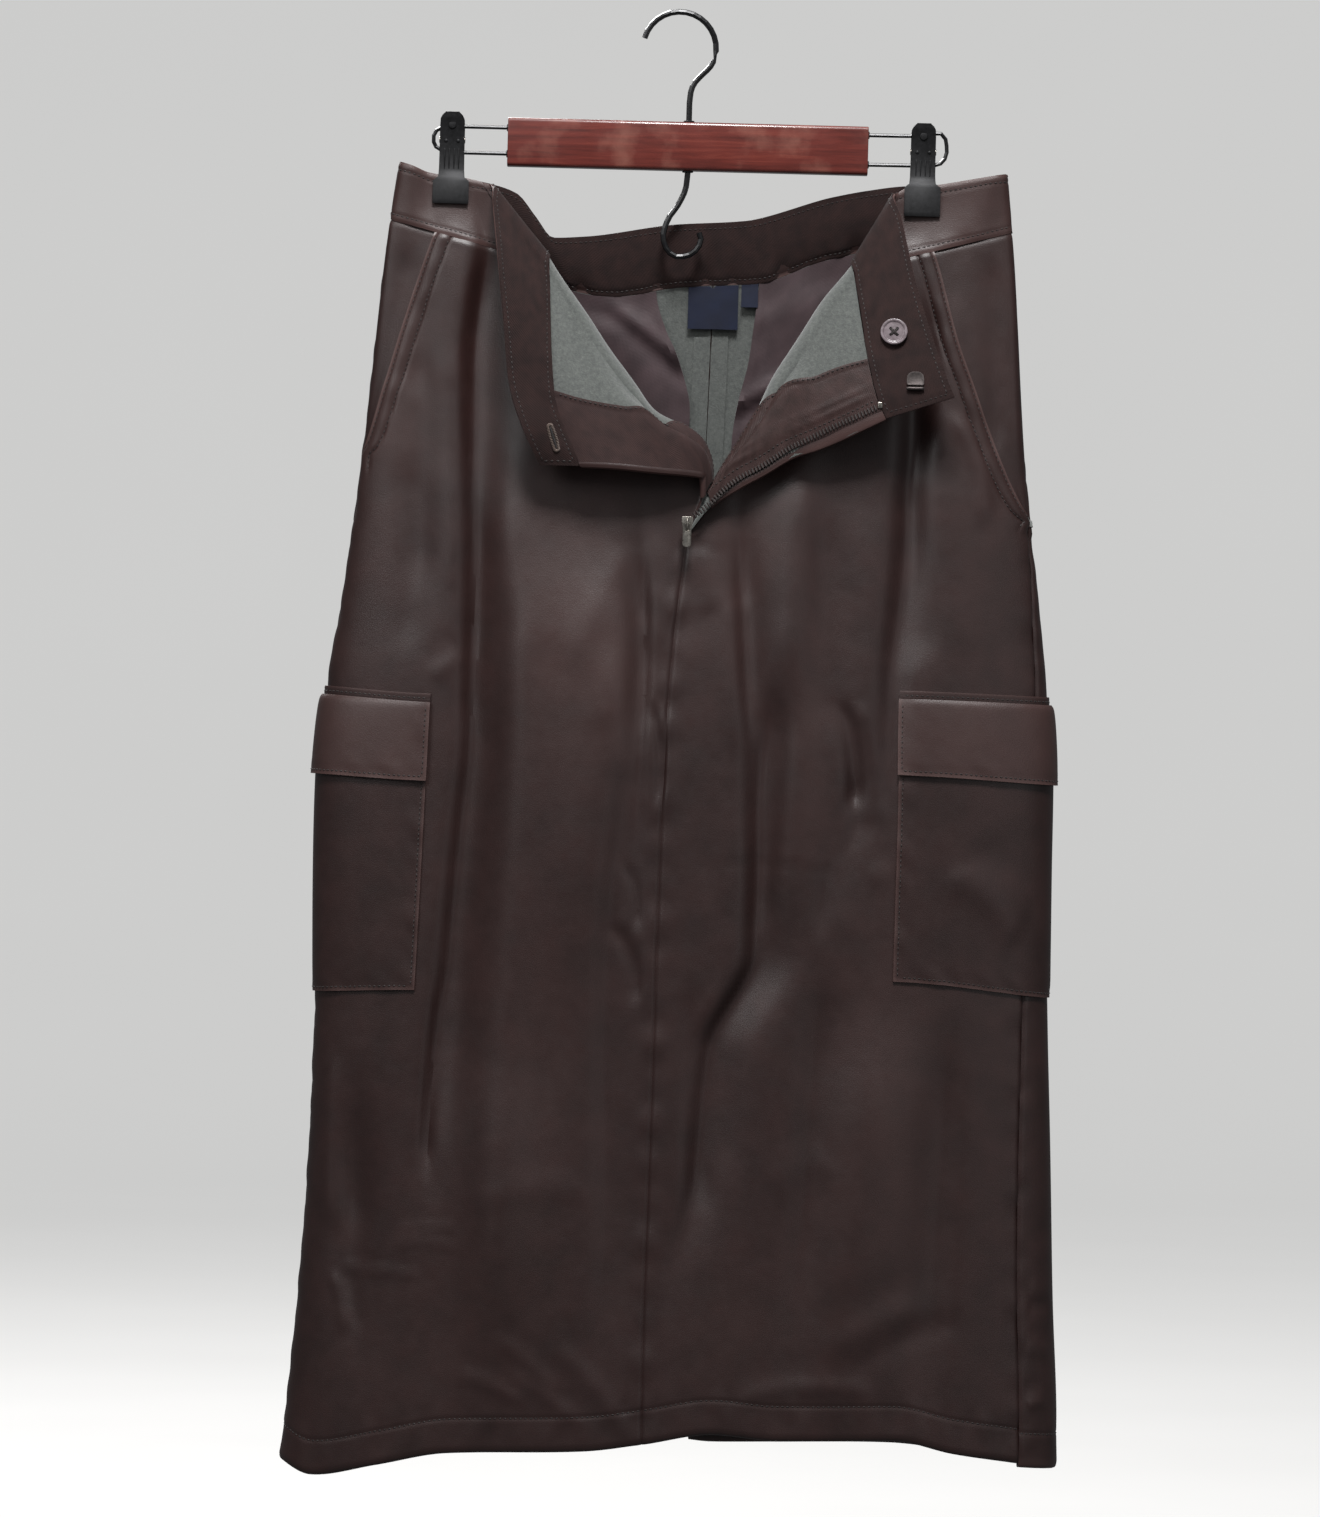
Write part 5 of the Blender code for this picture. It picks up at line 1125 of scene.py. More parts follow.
    flyRows = slice(0, flyLast + 1)
    fly = []
    for v, row, normals in zip(upperV[flyRows], upper[flyRows], upperOut[flyRows]):
        us = np.linspace(smoothCurve((0, 0.3, 0.62, 1), (4, 4, 2.62, 2.6), v), 5 if side == "left" else 5.5, 30)
        fly.append(readAlong(np.concatenate([row, normals], axis=1), places, us))
    fly = np.array(fly)
    flyOut = unit(fly[:, :, 3:])
    fly = fly[:, :, :3] - flyOut * under
    toStart = lengthsFrom(fly, "first")
    toEnd = lengthsFrom(fly, "last")
    flyAlong = lengthsFrom(fly, "top")
    height = (ridge(toStart - 1.6, 0.5, 1.4) + dip(toStart - 3.6, 0.3, 0.9)
              + 0.35 * waver(flyAlong / 3.4, 3) * np.exp(-((toStart - 3) / 6) ** 2))
    if side == "right":                   # the facing lies in ridges beside the teeth
        height += (ridge(toEnd - 12.5, 0.8, 1.8) + ridge(toEnd - 18, 0.6, 2)) * easeIn(
            flyAlong / 14)
    flyShown = lifted(fly, flyOut, -height)
    flyName, flyNode, flyFinish, flySewing = {"left": ("leftFlyFacing", "fly_facing", "flyTwill", 2.2),
                                              "right": ("rightZipTape", "zip_tape", "flyLeather", 7.5)}[side]
    clothPiece(flyName, [flyShown], [flyNode], (flyFinish, "twill", cloth["twill"]), turnedOver=flipped)
    sewEdges(flyShown, flyOut, cloth["twill"], (("first", 1.6, (2, 4)), ("last", flySewing, (2, 4))), "inside", -1)
    # leather binding round the front's own edge: on the right it shows beyond the zip's teeth
    flyEnd = flyRows.stop
    edge = upper[:flyEnd, -1]
    inner = upper[:flyEnd, int(np.searchsorted(places, 5 - 1e-9))] if side == "right" else upper[:flyEnd, -4]
    sideWay = edge - inner
    room = np.linalg.norm(sideWay, axis=1, keepdims=True)
    sideWay = sideWay / room
    seen = -upperOut[:flyEnd, -1]
    high, back = (leather / 2 + 0.75, leather / 2 + 0.75) if side == "right" else (under + 1.2, leather / 2 + 0.75)
    reachIn = np.maximum(room - 4.9, 1.6) if side == "right" else np.full_like(room, 2.6)
    section = [(-reachIn, high), (-reachIn * 0.6, high + 0.12), (-0.8, high), (0.5, high * 0.75), (1.0, high * 0.25),
               (1.0, -back * 0.3), (0.5, -back * 0.8), (-0.8, -back), (-3.2, -back), (-5.2, -back)]
    rows = [edge + sideWay * along + seen * lift for along, lift in section]
    binding = np.array(rows).transpose(1, 0, 2)
    binding += seen[:, None, :] * (0.22 * waver(lengthsFrom(binding, "top") / 3.0, 6))[:, :, None]
    if side == "right":
        binding = binding[:, ::-1]
    clothPiece(side + "FlyBinding", [binding], look=("leather", "leather", 0.7),
               wearAndSheen=[ridge(lengthsFrom(binding, "first" if side == "left" else "last") - 5, 0.9, 3)])
    fronts[side] = {"main": whole[:, hipCount:], "upper": upper, "out": upperOut, "facing": facing,
                    "facingOut": bandNormals, "places": places}
    print(side + " front made")


def pocketBlock(side):                    # the skirt round its side, between its two guides
    main = fronts[side]["main"][:, :frontGuide + 1]
    if side == "left":
        return np.concatenate([backRows[:, backGuide:], main[:, 1:]], axis=1)
    return np.concatenate([main[:, ::-1], backRows[:, 1:frontGuide + 1]], axis=1)


def rowAt(v):
    return int(np.argmin(np.abs(allV - v)))


def fourEdges(grid):
    return [lengthsFrom(grid, edge) for edge in ("first", "last", "top", "bottom")]


def insetEdges(grid, amount):
    for _ in range(2):
        grid = pulledIn(pulledIn(grid, 0, amount), -1, amount).transpose(1, 0, 2)
    return grid


cargo = {"fullness": 3.0, "edgeStitch": 2.8, "edgeDrop": 0.3, "flapHang": 1.2}


def sewThreeSides(grid, start):
    inset = cargo["edgeStitch"]
    edges = [("first", inset, (start, inset)), ("last", inset, (start, inset)), ("bottom", inset, (inset, inset))]
    sewEdges(grid, outNormals(grid), leather, edges, "panels")


for side in ("left", "right"):
    block = pocketBlock(side)
    blockOut = outNormals(block)
    top, flapTop, flapEnd, low = rowAt(2), rowAt(2.1), rowAt(2.4), rowAt(3)
    body = block[flapTop:low + 1]
    bodyOut = blockOut[flapTop:low + 1]
    rows, count = body.shape[:2]
    toFirst, toLast, toTop, toLow = fourEdges(body)
    across = toFirst / (toFirst + toLast)
    down = np.linspace(0, 1, rows)[:, None]
    fullness = cargo["fullness"] * (np.sin(math.pi * across) * np.sin(math.pi * np.clip(down, 0, 1) ** 0.7)) ** 0.8
    near = np.minimum(np.minimum(toFirst, toLast), toLow)
    height = (onTop + fullness - ridge(near, cargo["edgeDrop"], 1.6)
              + dip(near - cargo["edgeStitch"], 0.35, 1.0)
              + ridge(near - 4, 0.5, 6) * waver((toFirst + toLow) / 2.6, 4)
              + ridge(near - 1, 0.35, 1.2))
    shown = insetEdges(body + bodyOut * height[:, :, None], 0.6)
    clothPiece(side + "CargoPocket", [shown], ["cargo_pocket_" + side], inner="knit",
               wearAndSheen=[ridge(near, 0.75, 1.8)])
    sewThreeSides(shown, 30)

    flap = block[flapTop:flapEnd + 1]
    flapOut = blockOut[flapTop:flapEnd + 1]
    toFirst, toLast, toTop, toLow = fourEdges(flap)
    near = np.minimum(np.minimum(toFirst, toLast), toLow)
    hang = toTop / (toTop + toLow)
    height = (2 * onTop + fullness[:flap.shape[0]] + cargo["flapHang"] * hang
              - ridge(near, 0.3, 1.3) + dip(near - cargo["edgeStitch"], 0.35, 1.0)
              + ridge(near - 4, 0.35, 6) * waver((toFirst + toLow) / 2.9, 8)
              + ridge(near - 1, 0.3, 1.2) + dip(toTop, 0.4, 1.6))
    flapShown = lifted(flap, flapOut, height)
    # edge wear, plus a painted highlight over the whole flap
    flapWearAndSheen = ridge(near, 0.55, 1.8) + 0.36 + 0.1 * waver(toFirst / 6, 2)
    sewThreeSides(flapShown, 2)

    tuck = block[top:flapTop + 1]
    toTop = lengthsFrom(tuck, "top")
    tuckLow = lengthsFrom(tuck, "bottom")
    height = onTop - ridge(toTop, 0.3, 1.2) - ridge(tuckLow, 0.3, 1.2) + dip(toTop - 3, 0.3, 0.9)
    shown = insetEdges(tuck + blockOut[top:flapTop + 1] * height[:, :, None], 0.3)
    clothPiece(side + "CargoFlap", [flapShown, shown], ["cargo_flap_" + side, "cargo_tuck_" + side], inner="knit",
               wearAndSheen=[flapWearAndSheen, ridge(toTop, 0.5, 1.5)])
    sewEdges(shown, outNormals(shown), leather, (("top", 3, (2, 2)), ), "panels")
print("cargo pockets made")


# what shows inside the open waist
bags = {
    "left":  {"z": (-160, -182, -209, -226, -243, -261, -285, -330, -372),
              "outer": (-134, -140, -146, -148, -150, -151, -152, -152, -148),
              "inner": (-12, -11.3, -4.1, 3.6, 9.3, 13, 12, 2, -20)},
    "right": {"z": (-150, -175, -209, -226, -243, -261, -285, -330, -372),
              "outer": (140, 150, 158, 160, 162, 163, 164, 164, 160),
              "inner": (58, 56.6, 53, 51, 47, 43, 41, 48, 66)},
}
insideSizes = {"bagLow": -360, "hungGap": 0.3, "edgeLook": 1, "label": (10, 43, -205), "tab": (45.0, 56.0, -190)}


backPoints = backRows[:int(np.argmax(backRows[:, backMiddle, 2] < -400))].reshape(-1, 3)
backPoints = backPoints[backPoints[:, 1] > 0]
backTree = KDTree(len(backPoints))
for i, point in enumerate(backPoints):
    backTree.insert((point[0], 0, point[2]), i)
backTree.balance()


def backWallY(x, z):                      # the back wall's y at a place, from its nearest points
    near = backTree.find_n((x, 0, z), 4)
    weights = [1 / (distance + 0.3) for _, _, distance in near]
    return sum(w * backPoints[i][1] for w, (_, i, _) in zip(weights, near)) / sum(weights)


def facingEdge(x):                        # y and lowest z of the back facing's lower edge near x
    edge = backFacing[-1][::-1]
    look = insideSizes["edgeLook"]
    low = np.mean([np.interp(x + aside, edge[:, 0], edge[:, 2]) for aside in (-look, 0, look)])
    return float(np.interp(x, edge[:, 0], edge[:, 1])), float(low)


for side, table in bags.items():
    rows = []
    for depth in np.linspace(0, 1, 42):
        startZ = mix(table["z"][1], insideSizes["bagLow"], depth)
        first = tableAt(table, "outer", startZ)
        last = tableAt(table, "inner", startZ)
        if side == "right":
            first, last = last, first
        row = []
        for share in np.linspace(0, 1, 46):
            x = mix(first, last, share)
            topY, topZ = facingEdge(x)
            z = mix(topZ - insideSizes["hungGap"], insideSizes["bagLow"], depth)
            stand = (under + 2.6) * easeIn(depth / 0.14) + 7 * depth
            y = mix(topY, backWallY(x, z) - stand, float(easeIn(depth / 0.14)))
            row.append([x, y, z])
        rows.append(row)
    bag = np.array(rows)
    toFirst = lengthsFrom(bag, "first")
    toLast = lengthsFrom(bag, "last")
    near = toLast if side == "left" else toFirst
    x, z = bag[:, :, 0], bag[:, :, 2]
    line = (x + 20) * 0.62 + (z + 205) * 0.78 if side == "left" else (x - 86) * -0.5 + (z + 230) * 0.86
    wave = ridge(line, 2.8, 4) - ridge(line + 8, 1.6, 6)
    wave += 0.9 * np.sin(x / 9.5 + z / 26) * easeIn((near - 4) / 20)
    wave += ridge(near - 5, 0.5, 3) * waver(z / 3.1, 4)
    wave += dip(near - 6.5, 0.4, 1.0) + ridge(near - 2.5, 0.35, 2.5)
    wave *= easeIn((lengthsFrom(bag, "top")) / 16)
    bag[:, :, 1] -= np.clip(wave, -2, 4)
    clothPiece(side + "PocketBag", [bag], ["pocket_bag_" + side], ("pocketing", "pocketing", cloth["twill"]))


def insideStrip(name, left, right, low, node, fold):   # a label or tab that hangs from the back facing
    rows = []
    for share in np.linspace(0, 1, 22):
        row = []
        for across in np.linspace(0, 1, 18):
            x = mix(left, right, across)
            topY, topZ = facingEdge(x)
            z = mix(topZ - insideSizes["hungGap"], low, share)
            y = topY if share == 0 else mix(topY, backWallY(x, z) - under - 2.0 * share, float(easeIn(share * 4)))
            edge = 0.35 * math.exp(-((1 - share) * (insideSizes["label"][2] + 180) / 9) ** 2)
            side = 0.25 * math.exp(-(min(across, 1 - across) * (right - left) / 2.5) ** 2)
            row.append([x, y - edge - side - fold * math.sin(math.pi * across) * share, z])
        rows.append(row)
    clothPiece(name, [np.array(rows)], [node], ("label", "label", cloth["twill"]))


insideStrip("neckLabel", *insideSizes["label"], "neck_label", 0.8)
insideStrip("sizeTab", *insideSizes["tab"], "size_tab", 0.3)

# allowances of the centre-back seam, pressed open on the knit side
allowance = (11.2, 10.5, 7.0, 3.5, 1.3, 0.35)    # distances from the seam
seamZ = backRows[:, backMiddle, 2]
shownRows = slice(int(np.argmax(seamZ < -207)), int(np.argmax(seamZ < -740)))
halves = []
for columns, edge, distances, pucker, shift in ((slice(0, backMiddle + 1), "last", allowance, 3.6, 0),
                                                (slice(backMiddle, None), "first", allowance[::-1], 3.9, 2)):
    strips = []
    for distance in distances:
        line = insetLine(backRows[shownRows, columns], backOut[shownRows, columns], edge, distance)
        lift = leather / 2 + 0.8 + (0.25 if 1 < distance < 11 else 0)
        lift = lift + 0.25 * waver(line[:, 2] / pucker, distance / 4 + shift)
        strips.append(line[:, :3] - line[:, 3:] * np.maximum(lift, leather / 2 + 0.55)[:, None])
    halves.append(np.stack(strips, axis=1))
clothPiece("backSeamAllowance", halves, look=("knit", "leather", 0.9))
print("inside made")


def nothingPicked():
    if bpy.context.object and bpy.context.object.mode != "OBJECT":
        bpy.ops.object.mode_set(mode="OBJECT")
    bpy.ops.object.select_all(action="DESELECT")


def startBlock(name, low, high):
    nothingPicked()
    low = np.array(low, float)
    high = np.array(high, float)
    bpy.ops.mesh.primitive_cube_add(size=1, location=(low + high) / 2 * mm, scale=(high - low) * mm)
    return placed(name)


def blockAt(name, centre, size):
    low = np.array(centre, float) - np.array(size, float) / 2
    return startBlock(name, low, low + size)


def startRod(name, centre, radius, depth, sides=32, turn=(0, 0, 0)):
    nothingPicked()
    bpy.ops.mesh.primitive_cylinder_add(vertices=sides, radius=radius * mm, depth=depth * mm,
                                        location=np.array(centre) * mm, rotation=turn)
    return placed(name)


def placed(name):
    piece = bpy.context.object
    piece.name = name
    bpy.ops.object.transform_apply(location=True, rotation=True, scale=True)
    return piece


def pick(piece, kind, test):              # selects what passes the test on its centre in mm and its normal
    bpy.context.view_layer.objects.active = piece
    bpy.ops.object.mode_set(mode="EDIT")
    bpy.ops.mesh.select_mode(type=kind)
    bpy.ops.mesh.select_all(action="DESELECT")
    shape = bmesh.from_edit_mesh(piece.data)
    shape.normal_update()
    parts = {"FACE": shape.faces, "EDGE": shape.edges, "VERT": shape.verts}[kind]
    for part in parts:
        if kind == "FACE":
            centre, way = part.calc_center_median(), part.normal
        elif kind == "EDGE":
            first, last = part.verts[0].co, part.verts[1].co
            centre, way = (first + last) / 2, (last - first).normalized()
        else:
            centre, way = part.co, part.normal
        if test(centre / mm, way):
            part.select_set(True)
    shape.select_flush_mode()
    bmesh.update_edit_mesh(piece.data)


def rounded(piece, width, segments=3, angle=30):
    change = piece.modifiers.new("rounded", "BEVEL")
    change.width = width * mm
    change.segments = segments
    change.limit_method = "ANGLE"
    change.angle_limit = math.radians(angle)
    bpy.context.view_layer.objects.active = piece
    bpy.ops.object.modifier_apply(modifier=change.name)


def cutBy(piece, cutter):
    change = piece.modifiers.new("cut", "BOOLEAN")
    change.operation = "DIFFERENCE"
    change.solver = "EXACT"
    change.object = cutter
    bpy.context.view_layer.objects.active = piece
    bpy.ops.object.modifier_apply(modifier=change.name)
    bpy.data.objects.remove(cutter, do_unlink=True)


def joined(name, pieces):
    nothingPicked()
    for piece in pieces:
        piece.select_set(True)
    bpy.context.view_layer.objects.active = pieces[0]
    if len(pieces) > 1:
        bpy.ops.object.join()
    pieces[0].name = name
    return pieces[0]


def completed(piece, finish, nodes=(), angle=38, body="skirt"):
    piece.data.materials.clear()
    piece.data.materials.append(finishes[finish])
    finished(piece, angle)
    settle(piece, body, nodes)


def placeAlong(piece, centre, way):       # stands a piece that was made at the origin on a place, its z along way
    nothingPicked()
    piece.select_set(True)
    bpy.context.view_layer.objects.active = piece
    piece.rotation_mode = "QUATERNION"
    piece.rotation_quaternion = Vector(way).to_track_quat("Z", "Y")
    piece.location = Vector(np.array(centre) * mm)
    bpy.ops.object.transform_apply(location=True, rotation=True, scale=True)


def roundTube(name, points, radius, sides=10):   # mesh tube along a line of places, closed at its ends
    points = np.array(points, float)
    ways = unit(np.gradient(points, axis=0))
    radius = np.broadcast_to(np.asarray(radius, float), len(points))
    aside = np.cross(ways[0], (0.13, 0.31, 0.94))
    verts = []
    for point, way, size in zip(points, ways, radius):
        aside = unit(aside - way * np.dot(aside, way))
        other = np.cross(way, aside)
        for k in range(sides):
            angle = 2 * math.pi * k / sides
            verts.append(point + (aside * math.cos(angle) + other * math.sin(angle)) * size)
    faces = []
    for i in range(len(points) - 1):
        for k in range(sides):
            t = (k + 1) % sides
            faces.append((i * sides + k, i * sides + t, (i + 1) * sides + t, (i + 1) * sides + k))
    faces.append(tuple(range(sides))[::-1])
    faces.append(tuple(range((len(points) - 1) * sides, len(points) * sides)))
    return meshPiece(name, verts, faces)


def smoothRoute(knots, count):
    knots = np.array(knots, float)
    lengths = pathLengths(knots)
    at = np.linspace(0, lengths[-1], count)
    return np.stack([smoothCurve(lengths, knots[:, i], at) for i in range(3)], axis=1)


# zip: teeth along the right front, top stop, slider and the pull that swings on it
zipSizes = {"width": 4.2, "thick": 2.2, "pitch": 2.3, "toothLong": 1.25, "toothWide": 3.4, "sliderX": 13.0,
            "sliderZ": -336.0, "sliderWide": 8.0, "sliderHigh": 10.0, "sliderThick": 3.6, "sliderBack": -38.5,
            "pullWide": 5.6, "pullLong": 15.0, "pullThick": 1.2, "pullAbove": 0.6, "pullY": -43.2}
front = fronts["right"]
teethColumn = int(np.searchsorted(front["places"], 5 - 1e-9))
stand = leather / 2 + cloth["gap"] + zipSizes["thick"] / 2
teethAt = front["upper"][:flyLast + 1, teethColumn]
edgeAt = front["upper"][:flyLast + 1, -1]
sideways = unit(edgeAt - teethAt)
chainOut = front["out"][:flyLast + 1, -1]
chain = teethAt + sideways * (cloth["gap"] + zipSizes["width"] / 2) - chainOut * stand
sliderTop = zipSizes["sliderZ"] + zipSizes["sliderHigh"] / 2
chainEnd = [zipSizes["sliderX"] + 1.2 + 2.4, zipSizes["sliderBack"] - zipSizes["sliderThick"] / 2, sliderTop + 0.35]
chain = np.vstack([chain[2:], chainEnd])
chainSide = np.vstack([sideways[2:], sideways[-1]])
chainUp = np.vstack([-chainOut[2:], -chainOut[-1]])

tooth = blockAt("tooth", (0, 0, 0), (zipSizes["toothLong"], zipSizes["toothWide"], zipSizes["thick"]))
pick(tooth, "FACE", lambda centre, way: way.y > 0.9)
bpy.ops.mesh.inset(thickness=0.25 * mm)
bpy.ops.mesh.extrude_region_move(TRANSFORM_OT_translate={"value": (0, 0.55 * mm, 0)})
pick(tooth, "FACE", lambda centre, way: way.y < -0.9)
bpy.ops.transform.resize(value=(0.7, 1, 0.8), center_override=(0, -zipSizes["toothWide"] / 2 * mm, 0))
bpy.ops.object.mode_set(mode="OBJECT")
rounded(tooth, 0.22, 1)
toothVerts = np.array([v.co[:] for v in tooth.data.vertices]) / mm
toothFaces = [list(p.vertices) for p in tooth.data.polygons]
bpy.data.objects.remove(tooth, do_unlink=True)
along = pathLengths(chain)
verts = []
faces = []
for at in np.arange(zipSizes["pitch"], along[-1] - 0.5, zipSizes["pitch"]):
    point, side = readAlong(chain, along, at), readAlong(chainSide, along, at)
    ahead = unit(readAlong(chain, along, min(at + 0.5, along[-1])) - point)
    side = unit(side - ahead * np.dot(side, ahead))
    up = np.cross(ahead, side)
    faces += [[len(verts) + k for k in face] for face in toothFaces]
    verts += [point + ahead * v[0] + side * v[1] + up * v[2] for v in toothVerts]
teeth = meshPiece("zipTeeth", verts, faces)
repaired(teeth.data, False, True)
completed(teeth, "dullNickel", ["zip_chain"], angle=35)
stopPoint = chain[0] - unit(chain[1] - chain[0]) * 1.2
stop = blockAt("zipTopStop", (0, 0, 0), (3.2, 4.2, 2.2))
rounded(stop, 0.6, 3)
placeAlong(stop, stopPoint, chainUp[0])
completed(stop, "nickel")

frontY = zipSizes["sliderBack"] - zipSizes["sliderThick"]
sx, sz = zipSizes["sliderX"], zipSizes["sliderZ"]
halfWide, halfHigh = zipSizes["sliderWide"] / 2, zipSizes["sliderHigh"] / 2
plate = startBlock("sliderBody", (sx - halfWide, frontY, sz - halfHigh),
                   (sx + halfWide, frontY + 1.15, sz + halfHigh))
lower = startBlock("sliderLower", (sx - halfWide, zipSizes["sliderBack"] - 1.15, sz - halfHigh),
                   (sx + halfWide, zipSizes["sliderBack"], sz + halfHigh))
for part in (plate, lower):
    pick(part, "VERT", lambda centre, way: centre.z < sz)
    bpy.ops.transform.resize(value=(0.66, 1, 1), center_override=(sx * mm, frontY * mm, (sz - halfHigh) * mm))
    pick(part, "EDGE", lambda centre, way: abs(way.y) > 0.9)
    bpy.ops.mesh.bevel(offset=1.6 * mm, segments=4)
    bpy.ops.object.mode_set(mode="OBJECT")
    rounded(part, 0.3, 2)
core = startBlock("sliderCore", (sx - 0.9, frontY + 0.9, sz + 0.5),
                  (sx + 0.9, zipSizes["sliderBack"] - 0.9, sz + halfHigh - 0.6))
rounded(core, 0.3, 2)
bailRoute = smoothRoute([(sx, frontY + 0.2, sz + 3.0), (sx, frontY - 1.6, sz + 2.9), (sx, frontY - 2.7, sz + 1.8),
                         (sx, frontY - 2.8, sz), (sx, frontY - 2.7, sz - 1.8), (sx, frontY - 1.6, sz - 2.9),
                         (sx, frontY + 0.2, sz - 3.0)], 25)
bail = roundTube("sliderBail", bailRoute, 0.62, 10)
slider = joined("zipSlider", [plate, lower, core, bail])
completed(slider, "nickel", ["zip_slider"])

axisY = zipSizes["pullY"]
half, halfThick = zipSizes["pullWide"] / 2, zipSizes["pullThick"] / 2
pull = startBlock("zipPull", (sx - half, axisY - halfThick, sz - zipSizes["pullLong"]),
                  (sx + half, axisY + halfThick, sz + zipSizes["pullAbove"]))
pick(pull, "EDGE", lambda centre, way: abs(way.y) > 0.9 and centre.z < sz - 10)
bpy.ops.mesh.bevel(offset=2.2 * mm, segments=5)
pick(pull, "EDGE", lambda centre, way: abs(way.y) > 0.9 and centre.z > sz)
bpy.ops.mesh.bevel(offset=1.1 * mm, segments=4)
pick(pull, "FACE", lambda centre, way: way.y < -0.9)
bpy.ops.mesh.inset(thickness=0.75 * mm)
bpy.ops.transform.translate(value=(0, 0.22 * mm, 0))
bpy.ops.object.mode_set(mode="OBJECT")
slot = startBlock("slot", (sx - 1.6, axisY - 3, sz - 4.4), (sx + 1.6, axisY + 3, sz - 0.6))
rounded(slot, 0.7, 3)
cutBy(pull, slot)
rounded(pull, 0.14, 2, 40)
completed(pull, "nickel", ["zip_pull"], body="pull_tab")
print("zip made")


def onFacing(side, x, z):                 # nearest place on a turned facing, and the way to the viewer
    data = fronts[side]
    start = int(np.searchsorted(data["places"], 3))
    grid = data["facing"][:, start:]
    miss = np.hypot(grid[:, :, 0] - x, grid[:, :, 2] - z)
    r, c = np.unravel_index(np.argmin(miss), miss.shape)
    return grid[r, c], -data["facingOut"][r, start + c]


button = {"x": 145.0, "z": -209.0, "radius": 8.8, "thick": 2.6, "rim": 1.5, "hole": 1.0, "spacing": 2.1, "lift": 0.35}
place, way = onFacing("right", button["x"], button["z"])
centre = place + way * (cloth["twill"] / 2 + cloth["gap"] + button["lift"] + button["thick"] / 2)
disc = startRod("waistButton", (0, 0, 0), button["radius"], button["thick"], 48)
pick(disc, "FACE", lambda centre, way: way.z > 0.9)
bpy.ops.mesh.inset(thickness=button["rim"] * mm)
bpy.ops.mesh.inset(thickness=0.7 * mm)
bpy.ops.transform.translate(value=(0, 0, -0.75 * mm))
bpy.ops.mesh.inset(thickness=2.2 * mm)
bpy.ops.transform.translate(value=(0, 0, 0.18 * mm))
pick(disc, "FACE", lambda centre, way: way.z < -0.9)
bpy.ops.mesh.inset(thickness=1.2 * mm)
bpy.ops.object.mode_set(mode="OBJECT")
rounded(disc, 0.35, 3, 35)
for i in (-1, 1):
    for j in (-1, 1):
        cutBy(disc, startRod("hole", (i * button["spacing"], j * button["spacing"], 0), button["hole"], 9, 16))
rounded(disc, 0.12, 1, 50)
placeAlong(disc, centre, way)
completed(disc, "horn", ["waist_button"], angle=30)

threads = []
s = button["spacing"]
for k, (start, end, lift) in enumerate((((-s, -s), (s, s), 0.9), ((s, -s), (-s, s), 1.5))):
    for off in (-0.35, 0.35):
        sideX, sideY = off * (end[1] - start[1]) / (4 * s) * 1.4, -off * (end[0] - start[0]) / (4 * s) * 1.4
        route = []
        for t in np.linspace(-0.12, 1.12, 15):
            inside = np.clip(t, 0, 1)
            rise = 1.0 + lift * math.sin(math.pi * inside) * 0.42 - 20 * max(0, -t, t - 1)
            route.append((mix(start[0], end[0], inside) + sideX, mix(start[1], end[1], inside) + sideY, rise))
        threads.append(roundTube("thread", smoothRoute(route, 24), 0.42, 8))
cross = joined("buttonThread", threads)
placeAlong(cross, centre, way)
completed(cross, "thread", angle=60)

hookPlate = {"x": 159.5, "z": -240.0, "wide": 12.0, "thick": 1.2, "lift": 0.3}
place, way = onFacing("right", hookPlate["x"], hookPlate["z"])
centre = place + way * (cloth["twill"] / 2 + cloth["gap"] + hookPlate["lift"] + hookPlate["thick"] / 2)
eye = blockAt("hookEye", (0, 1.95, 0), (hookPlate["wide"] - 0.8, 9.1, hookPlate["thick"]))
pick(eye, "EDGE", lambda centre, way: abs(way.z) > 0.9 and centre.y > 0)
bpy.ops.mesh.bevel(offset=4.6 * mm, segments=6)
pick(eye, "EDGE", lambda centre, way: abs(way.z) > 0.9 and centre.y < -1)
bpy.ops.mesh.bevel(offset=1.2 * mm, segments=3)
pick(eye, "FACE", lambda centre, way: way.z > 0.9)
bpy.ops.mesh.inset(thickness=1.1 * mm)
bpy.ops.transform.translate(value=(0, 0, -0.3 * mm))
bpy.ops.object.mode_set(mode="OBJECT")
rounded(eye, 0.25, 2)
barRoute = smoothRoute([(-5.2, -4.7, -0.2), (-4.2, -4.8, 0.35), (0, -4.9, 0.5), (4.2, -4.8, 0.35),
                        (5.2, -4.7, -0.2)], 17)
bridge = roundTube("hookBar", barRoute, 1.15, 12)
eye = joined("waistHookEye", [eye, bridge])
placeAlong(eye, centre, way)
completed(eye, "dullNickel", ["waist_hook_plate"])

